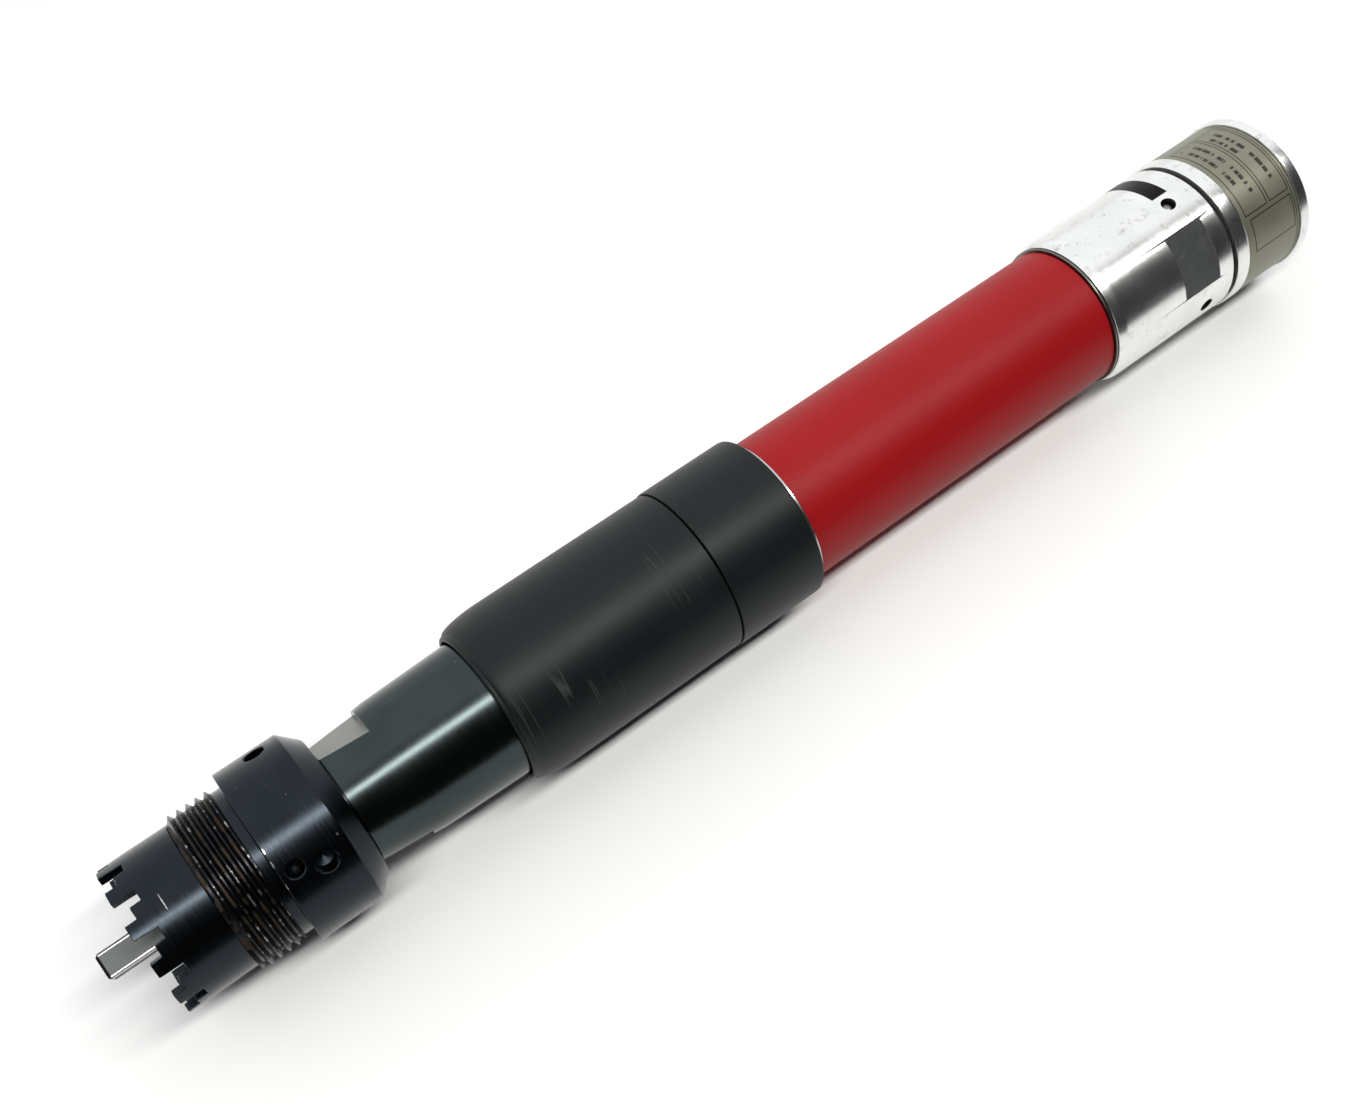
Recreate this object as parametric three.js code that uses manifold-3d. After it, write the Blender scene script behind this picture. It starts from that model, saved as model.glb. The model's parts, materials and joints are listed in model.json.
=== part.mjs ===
// In-line pneumatic screwdriving spindle with a planetary gear, a ball clutch and an air shut-off valve.
// The tool lies along X with its square drive towards -X, and rests on z = 0.
import * as THREE from "three";
import { mergeVertices } from "three/addons/utils/BufferGeometryUtils.js";
import Module from "manifold-3d";

const wasm = await Module();
wasm.setup();

// ---------------------------------------------------------------------------------------------
// Driving dimensions, in millimetres. A station is a distance from the tip of the square drive.

const LENGTH = 349.4;
const CONTACT_RADIUS = 21.7; // collar, cover ring and rear rim: what the tool rests on
const SIDES = 24; // facets of the outer turned parts
const INNER_SIDES = 20;
const BORE_SIDES = 12;
const INDEX_TURN = 133.8; // angle, from +Y towards +Z, that crown, collar holes and head flats share
const GAP = 0.3; // between faces that touch on the real tool
const RUNNING_CLEARANCE = 0.15;
const POCKET_CLEARANCE = 0.2;
const OVERSHOOT = 1; // how far a cutting shape reaches past the face it cuts through

const SQUARE = 6.35;
const SQUARE_TURN = 107;
const SQUARE_END = 20;
const SPINDLE_RADIUS = 4.9;

const CROWN = { tip: 9.5, radius: 18.1, bore: 16.2, floor: 25, teeth: 12, chamfer: 0.4 };
const CROWN_GAP = { slotDepth: 5.4, shelfDepth: 2.8, toothHalf: 5.8, slotEnd: 15 };
const THREAD = { start: 26.4, pitch: 2.25, turns: 5, crest: 19.65, root: 18.35 };
const COLLAR = { start: 39.9, chamfer: 55.5, end: 59.8, neck: 18.5, endRadius: 17.4 };
const SPANNER_HOLE = { station: 49.6, radius: 2.5, depth: 5, count: 4 };
const LOCK_SCREW = { station: 43.4, radius: 2, turn: 127, top: 20 };
const NOSE_BEARING = { start: 27.8, end: 35.8, radius: 13 };
const NOSE_SEAL = { start: 25.2, end: 27.2, radius: 8, bore: 5.15 };
const CIRCLIP = { start: 36.2, end: 37.4, outer: 12.9, inner: 11.2, gapHalf: 22, steps: 16 };

const HOUSING = { start: 41.3, spigot: 13.8, shoulder: 60.1, end: 170 };
const HOUSING_FLAT = { end: 72.3, distance: 13.6, turn: 40, shoulder: 75.3 };
const HOUSING_RADII = { front: 15, taperEnd: 16.6, shoulder: 16.95, lip: 17.6, rear: 17.9, tail: 17.2 };
const HOUSING_BORE = { front: 12.4, step: 74, rear: 14.6 };
const ADJUST_WINDOW = { start: 134.6, end: 149.5, width: 11, floor: 11.9 };
const SLEEVE_GROOVE = { start: 112, end: 114.4, radius: 16.9, run: 4 };
const SLEEVE_O_RING = { station: 113.2, radius: 18.05, section: 0.9 };

const SLEEVE = { start: 97.9, dome: 109.5, lip: 19.2, radius: 21.4, lipBore: 18.2, bore: 19.3 };
const SLEEVE_LIP = { length: 5, boreEnd: 6, rounding: 0.3, domeStart: 0.6, domeSteps: 5 };
const COVER_RING = { start: 156.5, end: 181.1, bore: 19.25 };
const FRONT_EDGE = { start: 181.4, end: 182.1, radius: 19.8, bore: 19.2 };
const TUBE = { start: 158.5, end: 279.7, radius: 19, bore: 17.4 };
const REAR_EDGE = { start: 279.9, end: 280.5, radius: 19.7 };
const HEAD = { front: 270, start: 280.7, chamfer: 283, end: 321.7, radius: 20.7, bore: 16.5 };
const HEAD_AIR_HOLES = { count: 3, radius: 1.5, circle: 5.6 };
const HEAD_FLAT = { start: 304, end: 316.6, distance: 18.8 };
const HEAD_PIN = { station: 312.7, radius: 1.6, turn: INDEX_TURN - 45, top: 19.6, count: 4 };
const GROOVE_O_RING = { station: 322.3, radius: 19.6, section: 0.45 };
const STEP_RING = { start: 322.9, end: 327.2, radius: 21.25 };
const NAME_BAND = { end: 346.5, radius: 21.05, thickness: 0.3 };
const INLET = { radius: 8.3, start: 322, bushing: 10.4, front: 298, spigot: 16.2 };
const CHAMBER = { radius: 10.7, web: 302, rodHole: 2.8 };
const WEB_HOLES = { count: 4, radius: 2, circle: 7.5 };
const EXHAUST = { radius: 1.9, circle: 13.7, count: 4, turn: 45 };
const SILENCER = { start: 345.7, end: 348.5, inner: 10.7, outer: 19 };
const STRAINER = { tip: 316, shoulder: 319, end: 332, radius: 8, wall: 0.7, nose: 5 };

const MODULE = 0.7;
const SUN_TEETH = 12;
const PLANET_TEETH = 15;
const RING_TEETH = SUN_TEETH + 2 * PLANET_TEETH;
const PRESSURE_ANGLE = THREE.MathUtils.degToRad(25);
const ADDENDUM = 0.8 * MODULE;
const DEDENDUM = 1.0 * MODULE;
const BACKLASH = 0.12;
const PLANETS = 3;
const PLANET_CIRCLE = (MODULE * (SUN_TEETH + PLANET_TEETH)) / 2;
const PIN_RADIUS = 1.6;
const GEAR_CASE = { start: 172.5, end: 201.5, radius: 17.1 };
const STAGE = [
  { planetStart: 191, planetEnd: 199.4, plateStart: 186, plateEnd: 190, radius: 13.2 },
  { planetStart: 174, planetEnd: 184, plateStart: 164.3, plateEnd: 173, radius: 13.6 },
];

const SUN = { start: 190.6, end: 200.6, bore: 2.85, secondStart: 174.6 };

const PUSH_ROD = { start: 98.5, radius: 1.3, bore: 1.9, clearance: 0.4 };
const MOTOR = { start: 209.8, end: 262.2, rotor: 12.9, cylinder: 14.2, offset: 1, radius: 17.1 };
const FRONT_PLATE = { start: 202.3, end: 209.5, pocket: 207.5 };
const REAR_PLATE = { start: 262.5, end: 269.5, pocket: 264.8 };
const MOTOR_BEARING = { radius: 8, pocket: 8.1, hole: 4.7, front: 202.8, rear: 265, width: 4.4 };
const AIR_PORTS = { radius: 1.6, circle: 11, turns: [150, 210] };
const LINER_SLOTS = { stations: [222, 236, 250], length: 3, width: 12, depth: 8 };
const ROTOR_NOSE = { start: 191.2, end: 202, radius: 2.7 };
const VANES = { count: 5, thickness: 1.7, slot: 2, bottom: 6.5 };
const JOURNAL = 4;
const LINER_PIN = { start: 207.2, end: 265.2, radius: 0.9, circle: 15.3, depth: 3 };

const CAM = { start: 62, end: 67, radius: 11.2, pilot: 3.3, pilotEnd: 78 };
const FOLLOWER = { start: 69.6, end: 75.5, radius: 11.6 };
const BALLS = { station: 68.6, count: 3, radius: 2.2, circle: 8.6 };
const SPRING_WASHER = { start: 75.9, end: 77, outer: 11.2, inner: 7 };
const DRIVE_HEX = 5.5; // half the distance across the flats of the clutch shaft
const CLUTCH_SHAFT = { hexEnd: 100, rearHex: 164, end: 172.5, pilotBore: 3.5, pilotEnd: 80, rodEnd: 95 };
const SHAFT_BEARING = { start: 151.5, end: 159.5, radius: 14.3 };
const CLUTCH_SPRING = { start: 77.4, end: 133.3, radius: 9.6, wire: 1.1, coils: 7 };
const ADJUST_NUT = { start: 133.8, end: 143.8, radius: 12.6, slots: 8, slotDepth: 2.4 };

const VALVE_SEAT = { start: 285, end: 288, radius: 7.6, bore: 4.6 };
const VALVE = { disc: 290.3, discEnd: 293.3, stemEnd: 308, radius: 7, stem: 2.5, bevel: 0.8 };
const VALVE_SPRING = { start: 274.6, end: 289.8, radius: 3, wire: 0.4, coils: 5 };

// ---------------------------------------------------------------------------------------------
// Materials

const paint = (color, roughness, metalness) =>
  new THREE.MeshStandardMaterial({ color, roughness, metalness });
const BLACK_STEEL = paint(0x17181a, 0.35, 0.9);
const GROUND_STEEL = paint(0x8d9092, 0.35, 1);
const BRIGHT_STEEL = paint(0xb9bcbe, 0.25, 1);
const BLACK_PLASTIC = paint(0x101211, 0.55, 0);
const RED_COAT = paint(0x9c0f14, 0.5, 0);
const ALUMINIUM = paint(0xd3d5d6, 0.28, 1);
const OLIVE_BAND = paint(0x84826f, 0.5, 0.6);
const BLACK_RUBBER = paint(0x0b0b0b, 0.8, 0);
const SPRING_STEEL = paint(0x6e6a62, 0.4, 1);
const BRONZE = paint(0x9a7442, 0.4, 1);
const COMPOSITE = paint(0x4a3a26, 0.7, 0);
const FELT = paint(0x5b5a55, 0.95, 0);

// ---------------------------------------------------------------------------------------------
// Shapes. Every shape is made along X.

const radians = THREE.MathUtils.degToRad;
const ALONG_X = new THREE.Matrix4().makeBasis(
  new THREE.Vector3(0, 1, 0),
  new THREE.Vector3(0, 0, 1),
  new THREE.Vector3(1, 0, 0),
);

// Corner radius of a regular polygon whose flats touch the circle of the given radius.
const cornerRadius = (radius, sides) => radius / Math.cos(Math.PI / sides);

// Solid of revolution. The profile lists [station, radius] along the outside, then back along the bore.
function turned(profile, sides = SIDES) {
  const solidBar = profile[0][1] === 0;
  const closed = solidBar ? profile : [...profile, profile[0]];
  const points = closed.map(
    ([station, radius]) => new THREE.Vector2(cornerRadius(radius, sides), station),
  );
  return new THREE.LatheGeometry(points, sides, Math.PI / sides).rotateZ(-Math.PI / 2);
}

const bar = (start, end, radius, sides = BORE_SIDES) =>
  turned([[start, 0], [start, radius], [end, radius], [end, 0]], sides);

const tube = (start, end, outer, inner, sides = SIDES) =>
  turned([[start, inner], [start, outer], [end, outer], [end, inner]], sides);

// Bar that points outwards from the axis, from one radius to another.
function spoke(station, turn, from, to, radius, sides = BORE_SIDES) {
  return bar(from, to, radius, sides)
    .rotateY(-Math.PI / 2)
    .rotateX(radians(turn - 90))
    .translate(station, 0, 0);
}

// Block with its inner face at a distance from the axis, facing away from it at an angle.
function facingBlock(start, end, width, distance, turn) {
  const depth = CONTACT_RADIUS;
  return new THREE.BoxGeometry(end - start, width, depth)
    .translate((start + end) / 2, 0, distance + depth / 2)
    .rotateX(radians(turn - 90));
}

const polar = (radius, angle) => new THREE.Vector2(radius * Math.cos(angle), radius * Math.sin(angle));

function circleOutline(radius, sides) {
  const corner = cornerRadius(radius, sides);
  return Array.from({ length: sides }, (_, i) => polar(corner, ((i + 0.5) * 2 * Math.PI) / sides));
}

function extruded(outline, holes, start, end) {
  const shape = new THREE.Shape(outline);
  shape.holes = holes.map((hole) => new THREE.Path(hole));
  return new THREE.ExtrudeGeometry(shape, { depth: end - start, bevelEnabled: false })
    .applyMatrix4(ALONG_X)
    .translate(start, 0, 0);
}

// Spur gear outline. Flanks run straight between the involute's widths at the root and the tip.
function gearOutline(teeth, tip, root, thickness) {
  const pitch = (MODULE * teeth) / 2;
  const base = pitch * Math.cos(PRESSURE_ANGLE);
  const involute = (radius) => {
    const angle = Math.acos(Math.min(1, base / radius));
    return Math.tan(angle) - angle;
  };
  const halfAngle = (radius) => thickness / (2 * pitch) + involute(pitch) - involute(radius);
  const flank = [root, tip];
  const outline = [];
  for (let tooth = 0; tooth < teeth; tooth++) {
    const centre = (tooth * 2 * Math.PI) / teeth;
    flank.forEach((radius) => outline.push(polar(radius, centre - halfAngle(radius))));
    flank.toReversed().forEach((radius) => outline.push(polar(radius, centre + halfAngle(radius))));
  }
  return outline;
}

const toothWidth = (Math.PI * MODULE) / 2;
const externalGear = (teeth, bore, start, end) =>
  extruded(
    gearOutline(
      teeth,
      (MODULE * teeth) / 2 + ADDENDUM,
      (MODULE * teeth) / 2 - DEDENDUM,
      toothWidth - BACKLASH,
    ),
    [circleOutline(bore, BORE_SIDES)],
    start,
    end,
  );

class Helix extends THREE.Curve {
  constructor({ start, end, radius, wire, coils }) {
    super();
    Object.assign(this, { from: start + wire, to: end - wire, radius, coils });
  }
  getPoint(t) {
    const angle = 2 * Math.PI * this.coils * t;
    return new THREE.Vector3(
      THREE.MathUtils.lerp(this.from, this.to, t),
      this.radius * Math.cos(angle),
      this.radius * Math.sin(angle),
    );
  }
}

const WIRE_SIDES = 4;
const STEPS_PER_COIL = 9;
function coilSpring(spring) {
  return new THREE.ExtrudeGeometry(new THREE.Shape(circleOutline(spring.wire, WIRE_SIDES)), {
    extrudePath: new Helix(spring),
    steps: spring.coils * STEPS_PER_COIL,
    bevelEnabled: false,
  });
}

// ---------------------------------------------------------------------------------------------
// Joining and cutting

function solid(geometry) {
  const bare = geometry.clone();
  bare.deleteAttribute("normal");
  bare.deleteAttribute("uv");
  const merged = mergeVertices(bare, 1e-4);
  return new wasm.Manifold(
    new wasm.Mesh({
      numProp: 3,
      vertProperties: merged.attributes.position.array,
      triVerts: new Uint32Array(merged.index.array),
    }),
  );
}

function geometryOf(manifold) {
  const { vertProperties, triVerts } = manifold.getMesh();
  return new THREE.BufferGeometry()
    .setAttribute("position", new THREE.BufferAttribute(vertProperties, 3))
    .setIndex(new THREE.BufferAttribute(triVerts, 1));
}

const joined = (...pieces) =>
  geometryOf(pieces.map(solid).reduce((whole, piece) => whole.add(piece)));

const cut = (body, ...tools) =>
  geometryOf(tools.map(solid).reduce((whole, tool) => whole.subtract(tool), solid(body)));

const around = (count, make) => Array.from({ length: count }, (_, i) => make((i * 360) / count, i));

// ---------------------------------------------------------------------------------------------
// The assembly. Every piece hangs from one group on the tool's axis.

const tool = new THREE.Group();
tool.name = "screwdriving_spindle";
tool.position.set(-LENGTH / 2, 0, CONTACT_RADIUS);

function add(name, geometry, material) {
  const mesh = new THREE.Mesh(geometry, material);
  mesh.name = name;
  tool.add(mesh);
  return mesh;
}

// ---- Nose: castellated crown, thread, collar flange with pin spanner holes

function crownGap(turn) {
  const toothEnd = turn + CROWN_GAP.toothHalf;
  const next = turn + 360 / CROWN.teeth - CROWN_GAP.toothHalf;
  const inside = CROWN.bore - 2 * OVERSHOOT;
  const outside = CROWN.radius + 4 * OVERSHOOT;
  const wedge = (from, to, depth) =>
    extruded(
      [
        polar(inside, radians(from)),
        polar(outside, radians(from)),
        polar(outside, radians(to)),
        polar(inside, radians(to)),
      ],
      [],
      CROWN.tip - OVERSHOOT,
      CROWN.tip + depth,
    );
  return [
    wedge(toothEnd, turn + CROWN_GAP.slotEnd, CROWN_GAP.slotDepth),
    wedge(toothEnd, next, CROWN_GAP.shelfDepth),
  ];
}

function nose() {
  const threads = around(THREAD.turns, (_, i) => {
    const root = THREAD.start + i * THREAD.pitch;
    return [[root, THREAD.root], [root + THREAD.pitch / 2, THREAD.crest]];
  }).flat();
  const threadEnd = THREAD.start + THREAD.turns * THREAD.pitch;
  const body = turned([
    [CROWN.tip, CROWN.bore],
    [CROWN.tip, CROWN.radius - CROWN.chamfer],
    [CROWN.tip + 1.5 * CROWN.chamfer, CROWN.radius],
    [THREAD.start - 0.1, CROWN.radius],
    ...threads,
    [threadEnd, COLLAR.neck],
    [COLLAR.start, COLLAR.neck],
    [COLLAR.start, CONTACT_RADIUS],
    [COLLAR.chamfer, CONTACT_RADIUS],
    [COLLAR.end, COLLAR.endRadius],
    [COLLAR.end, HOUSING.spigot + GAP],
    [HOUSING.start - GAP, HOUSING.spigot + GAP],
    [HOUSING.start - GAP, NOSE_BEARING.radius + POCKET_CLEARANCE],
    [NOSE_BEARING.start - GAP, NOSE_BEARING.radius + POCKET_CLEARANCE],
    [NOSE_BEARING.start - GAP, NOSE_SEAL.radius + POCKET_CLEARANCE / 2],
    [CROWN.floor, NOSE_SEAL.radius + POCKET_CLEARANCE / 2],
    [CROWN.floor, CROWN.bore],
  ]);
  const spannerHoles = around(SPANNER_HOLE.count, (angle) =>
    spoke(
      SPANNER_HOLE.station,
      INDEX_TURN + angle,
      CONTACT_RADIUS - SPANNER_HOLE.depth,
      CONTACT_RADIUS + OVERSHOOT,
      SPANNER_HOLE.radius,
    ),
  );
  const lockHole = spoke(
    LOCK_SCREW.station,
    LOCK_SCREW.turn,
    HOUSING.spigot - OVERSHOOT,
    CONTACT_RADIUS + OVERSHOOT,
    LOCK_SCREW.radius,
  );
  const gaps = around(CROWN.teeth, (angle) => crownGap(INDEX_TURN + angle)).flat();
  return cut(body, ...spannerHoles, lockHole, ...gaps);
}

// Sealed ball bearing: two rings and a shield set back a little, in one turned section.
function bearing({ start, end, radius }, bore, sides = INNER_SIDES) {
  const ringWall = (radius - bore) / 4;
  const recess = 0.5;
  return turned(
    [
      [start, bore], [start, bore + ringWall],
      [start + recess, bore + ringWall], [start + recess, radius - ringWall],
      [start, radius - ringWall], [start, radius],
      [end, radius], [end, bore],
    ],
    sides,
  );
}

function circlip({ start, end, outer, inner, gapHalf, steps }) {
  const arc = (radius) =>
    Array.from({ length: steps + 1 }, (_, i) =>
      polar(radius, radians(gapHalf + (i * (360 - 2 * gapHalf)) / steps)),
    );
  return extruded([...arc(outer), ...arc(inner).reverse()], [], start, end);
}

add("nose_piece", nose(), BLACK_STEEL);
add("nose_bearing", bearing(NOSE_BEARING, SPINDLE_RADIUS + RUNNING_CLEARANCE), BRIGHT_STEEL);
add(
  "nose_seal",
  tube(NOSE_SEAL.start, NOSE_SEAL.end, NOSE_SEAL.radius, NOSE_SEAL.bore, INNER_SIDES),
  BLACK_RUBBER,
);
add("nose_circlip", circlip(CIRCLIP), SPRING_STEEL);
add(
  "nose_lock_screw",
  spoke(
    LOCK_SCREW.station,
    LOCK_SCREW.turn,
    HOUSING.spigot + GAP,
    LOCK_SCREW.top,
    LOCK_SCREW.radius - RUNNING_CLEARANCE,
  ),
  BLACK_STEEL,
);

// ---- Output spindle: square drive, journal, driven cam with ball pockets and a rear pilot

const ballAt = (angle, radius) =>
  new THREE.SphereGeometry(radius, 8, 6)
    .translate(BALLS.station, BALLS.circle, 0)
    .rotateX(radians(angle));

function outputSpindle() {
  const half = SQUARE / 2;
  const bevel = 0.5;
  const octagon = [];
  for (const [x, y] of [[1, 1], [-1, 1], [-1, -1], [1, -1]]) {
    const a = new THREE.Vector2(x * half, y * (half - bevel));
    const b = new THREE.Vector2(x * (half - bevel), y * half);
    octagon.push(...(x * y > 0 ? [a, b] : [b, a]));
  }
  const square = extruded(octagon, [], 0, SQUARE_END + OVERSHOOT).rotateX(radians(SQUARE_TURN));
  const shank = turned(
    [
      [SQUARE_END, 0],
      [SQUARE_END, SPINDLE_RADIUS],
      [CAM.start, SPINDLE_RADIUS],
      [CAM.start, CAM.radius],
      [CAM.end, CAM.radius],
      [CAM.end, CAM.pilot],
      [CAM.pilotEnd, CAM.pilot],
      [CAM.pilotEnd, 0],
    ],
    INNER_SIDES,
  );
  const pockets = around(BALLS.count, (angle) => ballAt(angle, BALLS.radius + RUNNING_CLEARANCE));
  return cut(joined(square, shank), ...pockets);
}

add("output_spindle", outputSpindle(), GROUND_STEEL);

// ---- Clutch housing with wrench flats and the window to the adjusting nut

function clutchHousing() {
  const groove = SLEEVE_GROOVE;
  const body = turned([
    [HOUSING.start, HOUSING_BORE.front],
    [HOUSING.start, HOUSING.spigot],
    [HOUSING.shoulder, HOUSING.spigot],
    [HOUSING.shoulder, HOUSING_RADII.front],
    [HOUSING_FLAT.end, HOUSING_RADII.taperEnd],
    [HOUSING_FLAT.shoulder, HOUSING_RADII.shoulder],
    [SLEEVE.start, HOUSING_RADII.lip],
    [groove.start - groove.run, HOUSING_RADII.rear],
    [groove.start, HOUSING_RADII.rear],
    [groove.start, groove.radius],
    [groove.end, groove.radius],
    [groove.end, HOUSING_RADII.rear],
    [TUBE.start - GAP, HOUSING_RADII.rear],
    [TUBE.start - GAP, HOUSING_RADII.tail],
    [HOUSING.end, HOUSING_RADII.tail],
    [HOUSING.end, HOUSING_BORE.rear],
    [HOUSING_BORE.step, HOUSING_BORE.rear],
    [HOUSING_BORE.step, HOUSING_BORE.front],
  ]);
  const flats = [0, 180].map((angle) =>
    facingBlock(
      HOUSING.shoulder - GAP,
      HOUSING_FLAT.end,
      2 * CONTACT_RADIUS,
      HOUSING_FLAT.distance,
      HOUSING_FLAT.turn + angle,
    ),
  );
  const window = new THREE.BoxGeometry(
    ADJUST_WINDOW.end - ADJUST_WINDOW.start,
    ADJUST_WINDOW.width,
    HOUSING_RADII.rear,
  ).translate(
    (ADJUST_WINDOW.start + ADJUST_WINDOW.end) / 2,
    0,
    ADJUST_WINDOW.floor + HOUSING_RADII.rear / 2,
  );
  return cut(body, ...flats, window);
}

const SECTION_SIDES = 6;
const oRing = ({ station, radius, section }) =>
  turned(
    around(SECTION_SIDES, (angle) => [
      station - section * Math.cos(radians(angle)),
      radius + section * Math.sin(radians(angle)),
    ]),
  );

add("clutch_housing", clutchHousing(), BLACK_STEEL);
add("sleeve_o_ring", oRing(SLEEVE_O_RING), BLACK_RUBBER);

// ---- Ball clutch and clutch shaft

function clutchFollower() {
  const plate = extruded(
    circleOutline(FOLLOWER.radius, INNER_SIDES),
    [circleOutline(DRIVE_HEX + POCKET_CLEARANCE, 6)],
    FOLLOWER.start,
    FOLLOWER.end,
  );
  const pockets = around(BALLS.count, (angle) => ballAt(angle, BALLS.radius + RUNNING_CLEARANCE));
  return cut(plate, ...pockets);
}

function clutchShaft() {
  const { hexEnd, rearHex, end, pilotBore, pilotEnd, rodEnd } = CLUTCH_SHAFT;
  const hexagon = circleOutline(DRIVE_HEX, 6);
  const hexFront = extruded(hexagon, [], FOLLOWER.start + GAP, hexEnd);
  const round = bar(hexEnd - OVERSHOOT, rearHex + OVERSHOOT, DRIVE_HEX, INNER_SIDES);
  const hexRear = extruded(hexagon, [], rearHex, end);
  return cut(
    joined(hexFront, round, hexRear),
    bar(FOLLOWER.start - OVERSHOOT, pilotEnd, pilotBore, INNER_SIDES),
    bar(rodEnd, end + OVERSHOOT, PUSH_ROD.bore),
  );
}

function adjustingNut() {
  const step = 360 / ADJUST_NUT.slots;
  const slotHalf = step / 5;
  const slotFloor = ADJUST_NUT.radius - ADJUST_NUT.slotDepth;
  const outline = around(ADJUST_NUT.slots, (angle) => [
    polar(ADJUST_NUT.radius, radians(angle - step / 2 + slotHalf)),
    polar(ADJUST_NUT.radius, radians(angle)),
    polar(ADJUST_NUT.radius, radians(angle + step / 2 - slotHalf)),
    polar(slotFloor, radians(angle + step / 2 - slotHalf)),
    polar(slotFloor, radians(angle + step / 2 + slotHalf)),
  ]).flat();
  return extruded(
    outline,
    [circleOutline(DRIVE_HEX + POCKET_CLEARANCE, INNER_SIDES)],
    ADJUST_NUT.start,
    ADJUST_NUT.end,
  );
}

add("clutch_follower", clutchFollower(), GROUND_STEEL);
around(BALLS.count, (angle, i) =>
  add("clutch_ball_" + (i + 1), ballAt(angle, BALLS.radius), BRIGHT_STEEL),
);
add(
  "spring_washer",
  tube(
    SPRING_WASHER.start,
    SPRING_WASHER.end,
    SPRING_WASHER.outer,
    SPRING_WASHER.inner,
    INNER_SIDES,
  ),
  GROUND_STEEL,
);
add("clutch_spring", coilSpring(CLUTCH_SPRING), SPRING_STEEL);
add("adjusting_nut", adjustingNut(), BRONZE);
add("clutch_shaft", clutchShaft(), GROUND_STEEL);
add("shaft_bearing", bearing(SHAFT_BEARING, DRIVE_HEX + RUNNING_CLEARANCE), BRIGHT_STEEL);

// ---- Two planetary stages in one ring gear

function planetCarrier({ planetEnd, plateStart, plateEnd, radius }, boreOutline) {
  const plate = extruded(circleOutline(radius, INNER_SIDES), [boreOutline], plateStart, plateEnd);
  const pins = around(PLANETS, (angle) =>
    bar(plateEnd - OVERSHOOT, planetEnd + GAP, PIN_RADIUS)
      .translate(0, PLANET_CIRCLE, 0)
      .rotateX(radians(angle)),
  );
  return [plate, ...pins];
}

const pitchOfRing = (MODULE * RING_TEETH) / 2;
add(
  "ring_gear",
  extruded(
    circleOutline(GEAR_CASE.radius, SIDES),
    [gearOutline(RING_TEETH, pitchOfRing + DEDENDUM, pitchOfRing - ADDENDUM, toothWidth + BACKLASH)],
    GEAR_CASE.start,
    GEAR_CASE.end,
  ),
  GROUND_STEEL,
);
const sunOfStageTwo = externalGear(
  SUN_TEETH,
  PUSH_ROD.bore,
  SUN.secondStart,
  STAGE[0].plateStart + OVERSHOOT / 2,
);
add(
  "carrier_1",
  joined(sunOfStageTwo, ...planetCarrier(STAGE[0], circleOutline(PUSH_ROD.bore, BORE_SIDES))),
  GROUND_STEEL,
);
add(
  "carrier_2",
  joined(...planetCarrier(STAGE[1], circleOutline(DRIVE_HEX + POCKET_CLEARANCE, 6))),
  GROUND_STEEL,
);
STAGE.forEach(({ planetStart, planetEnd }, stage) =>
  around(PLANETS, (angle, i) => {
    const bore = PIN_RADIUS + RUNNING_CLEARANCE;
    const gear = externalGear(PLANET_TEETH, bore, 0, planetEnd - planetStart);
    const planet = add("planet_" + (stage + 1) + "_" + (i + 1), gear, BRIGHT_STEEL);
    planet.position.set(
      planetStart,
      PLANET_CIRCLE * Math.cos(radians(angle)),
      PLANET_CIRCLE * Math.sin(radians(angle)),
    );
    planet.rotation.x = radians(angle);
  }),
);

// ---- Vane motor: end plates, cylinder, rotor, vanes

const pinHole = (start, end) =>
  bar(start, end, LINER_PIN.radius + POCKET_CLEARANCE, 8).translate(0, LINER_PIN.circle, 0);

function frontPlate() {
  const plate = turned(
    [
      [FRONT_PLATE.start, MOTOR_BEARING.pocket],
      [FRONT_PLATE.start, MOTOR.radius],
      [FRONT_PLATE.end, MOTOR.radius],
      [FRONT_PLATE.end, MOTOR_BEARING.hole],
      [FRONT_PLATE.pocket, MOTOR_BEARING.hole],
      [FRONT_PLATE.pocket, MOTOR_BEARING.pocket],
    ],
    SIDES,
  );
  return cut(plate, pinHole(FRONT_PLATE.end - LINER_PIN.depth, FRONT_PLATE.end + OVERSHOOT));
}

function rearPlate() {
  const plate = turned(
    [
      [REAR_PLATE.start, MOTOR_BEARING.hole],
      [REAR_PLATE.start, MOTOR.radius],
      [REAR_PLATE.end, MOTOR.radius],
      [REAR_PLATE.end, MOTOR_BEARING.pocket],
      [REAR_PLATE.pocket, MOTOR_BEARING.pocket],
      [REAR_PLATE.pocket, MOTOR_BEARING.hole],
    ],
    SIDES,
  );
  const airPorts = AIR_PORTS.turns.map((turn) =>
    bar(REAR_PLATE.start - OVERSHOOT, REAR_PLATE.end + OVERSHOOT, AIR_PORTS.radius, 8)
      .translate(0, AIR_PORTS.circle, 0)
      .rotateX(radians(turn)),
  );
  const hole = pinHole(REAR_PLATE.start - OVERSHOOT, REAR_PLATE.start + LINER_PIN.depth);
  return cut(plate, hole, ...airPorts);
}

function cylinderLiner() {
  const { stations, length, width, depth } = LINER_SLOTS;
  const bore = circleOutline(MOTOR.cylinder, SIDES).map(
    (point) => new THREE.Vector2(point.x - MOTOR.offset, point.y),
  );
  const wall = extruded(circleOutline(MOTOR.radius, SIDES), [bore], MOTOR.start, MOTOR.end);
  const exhaustSlots = stations.map((station) =>
    new THREE.BoxGeometry(length, depth, width).translate(station, -MOTOR.radius, 0),
  );
  return cut(wall, pinHole(MOTOR.start - OVERSHOOT, MOTOR.end + OVERSHOOT), ...exhaustSlots);
}

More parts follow.
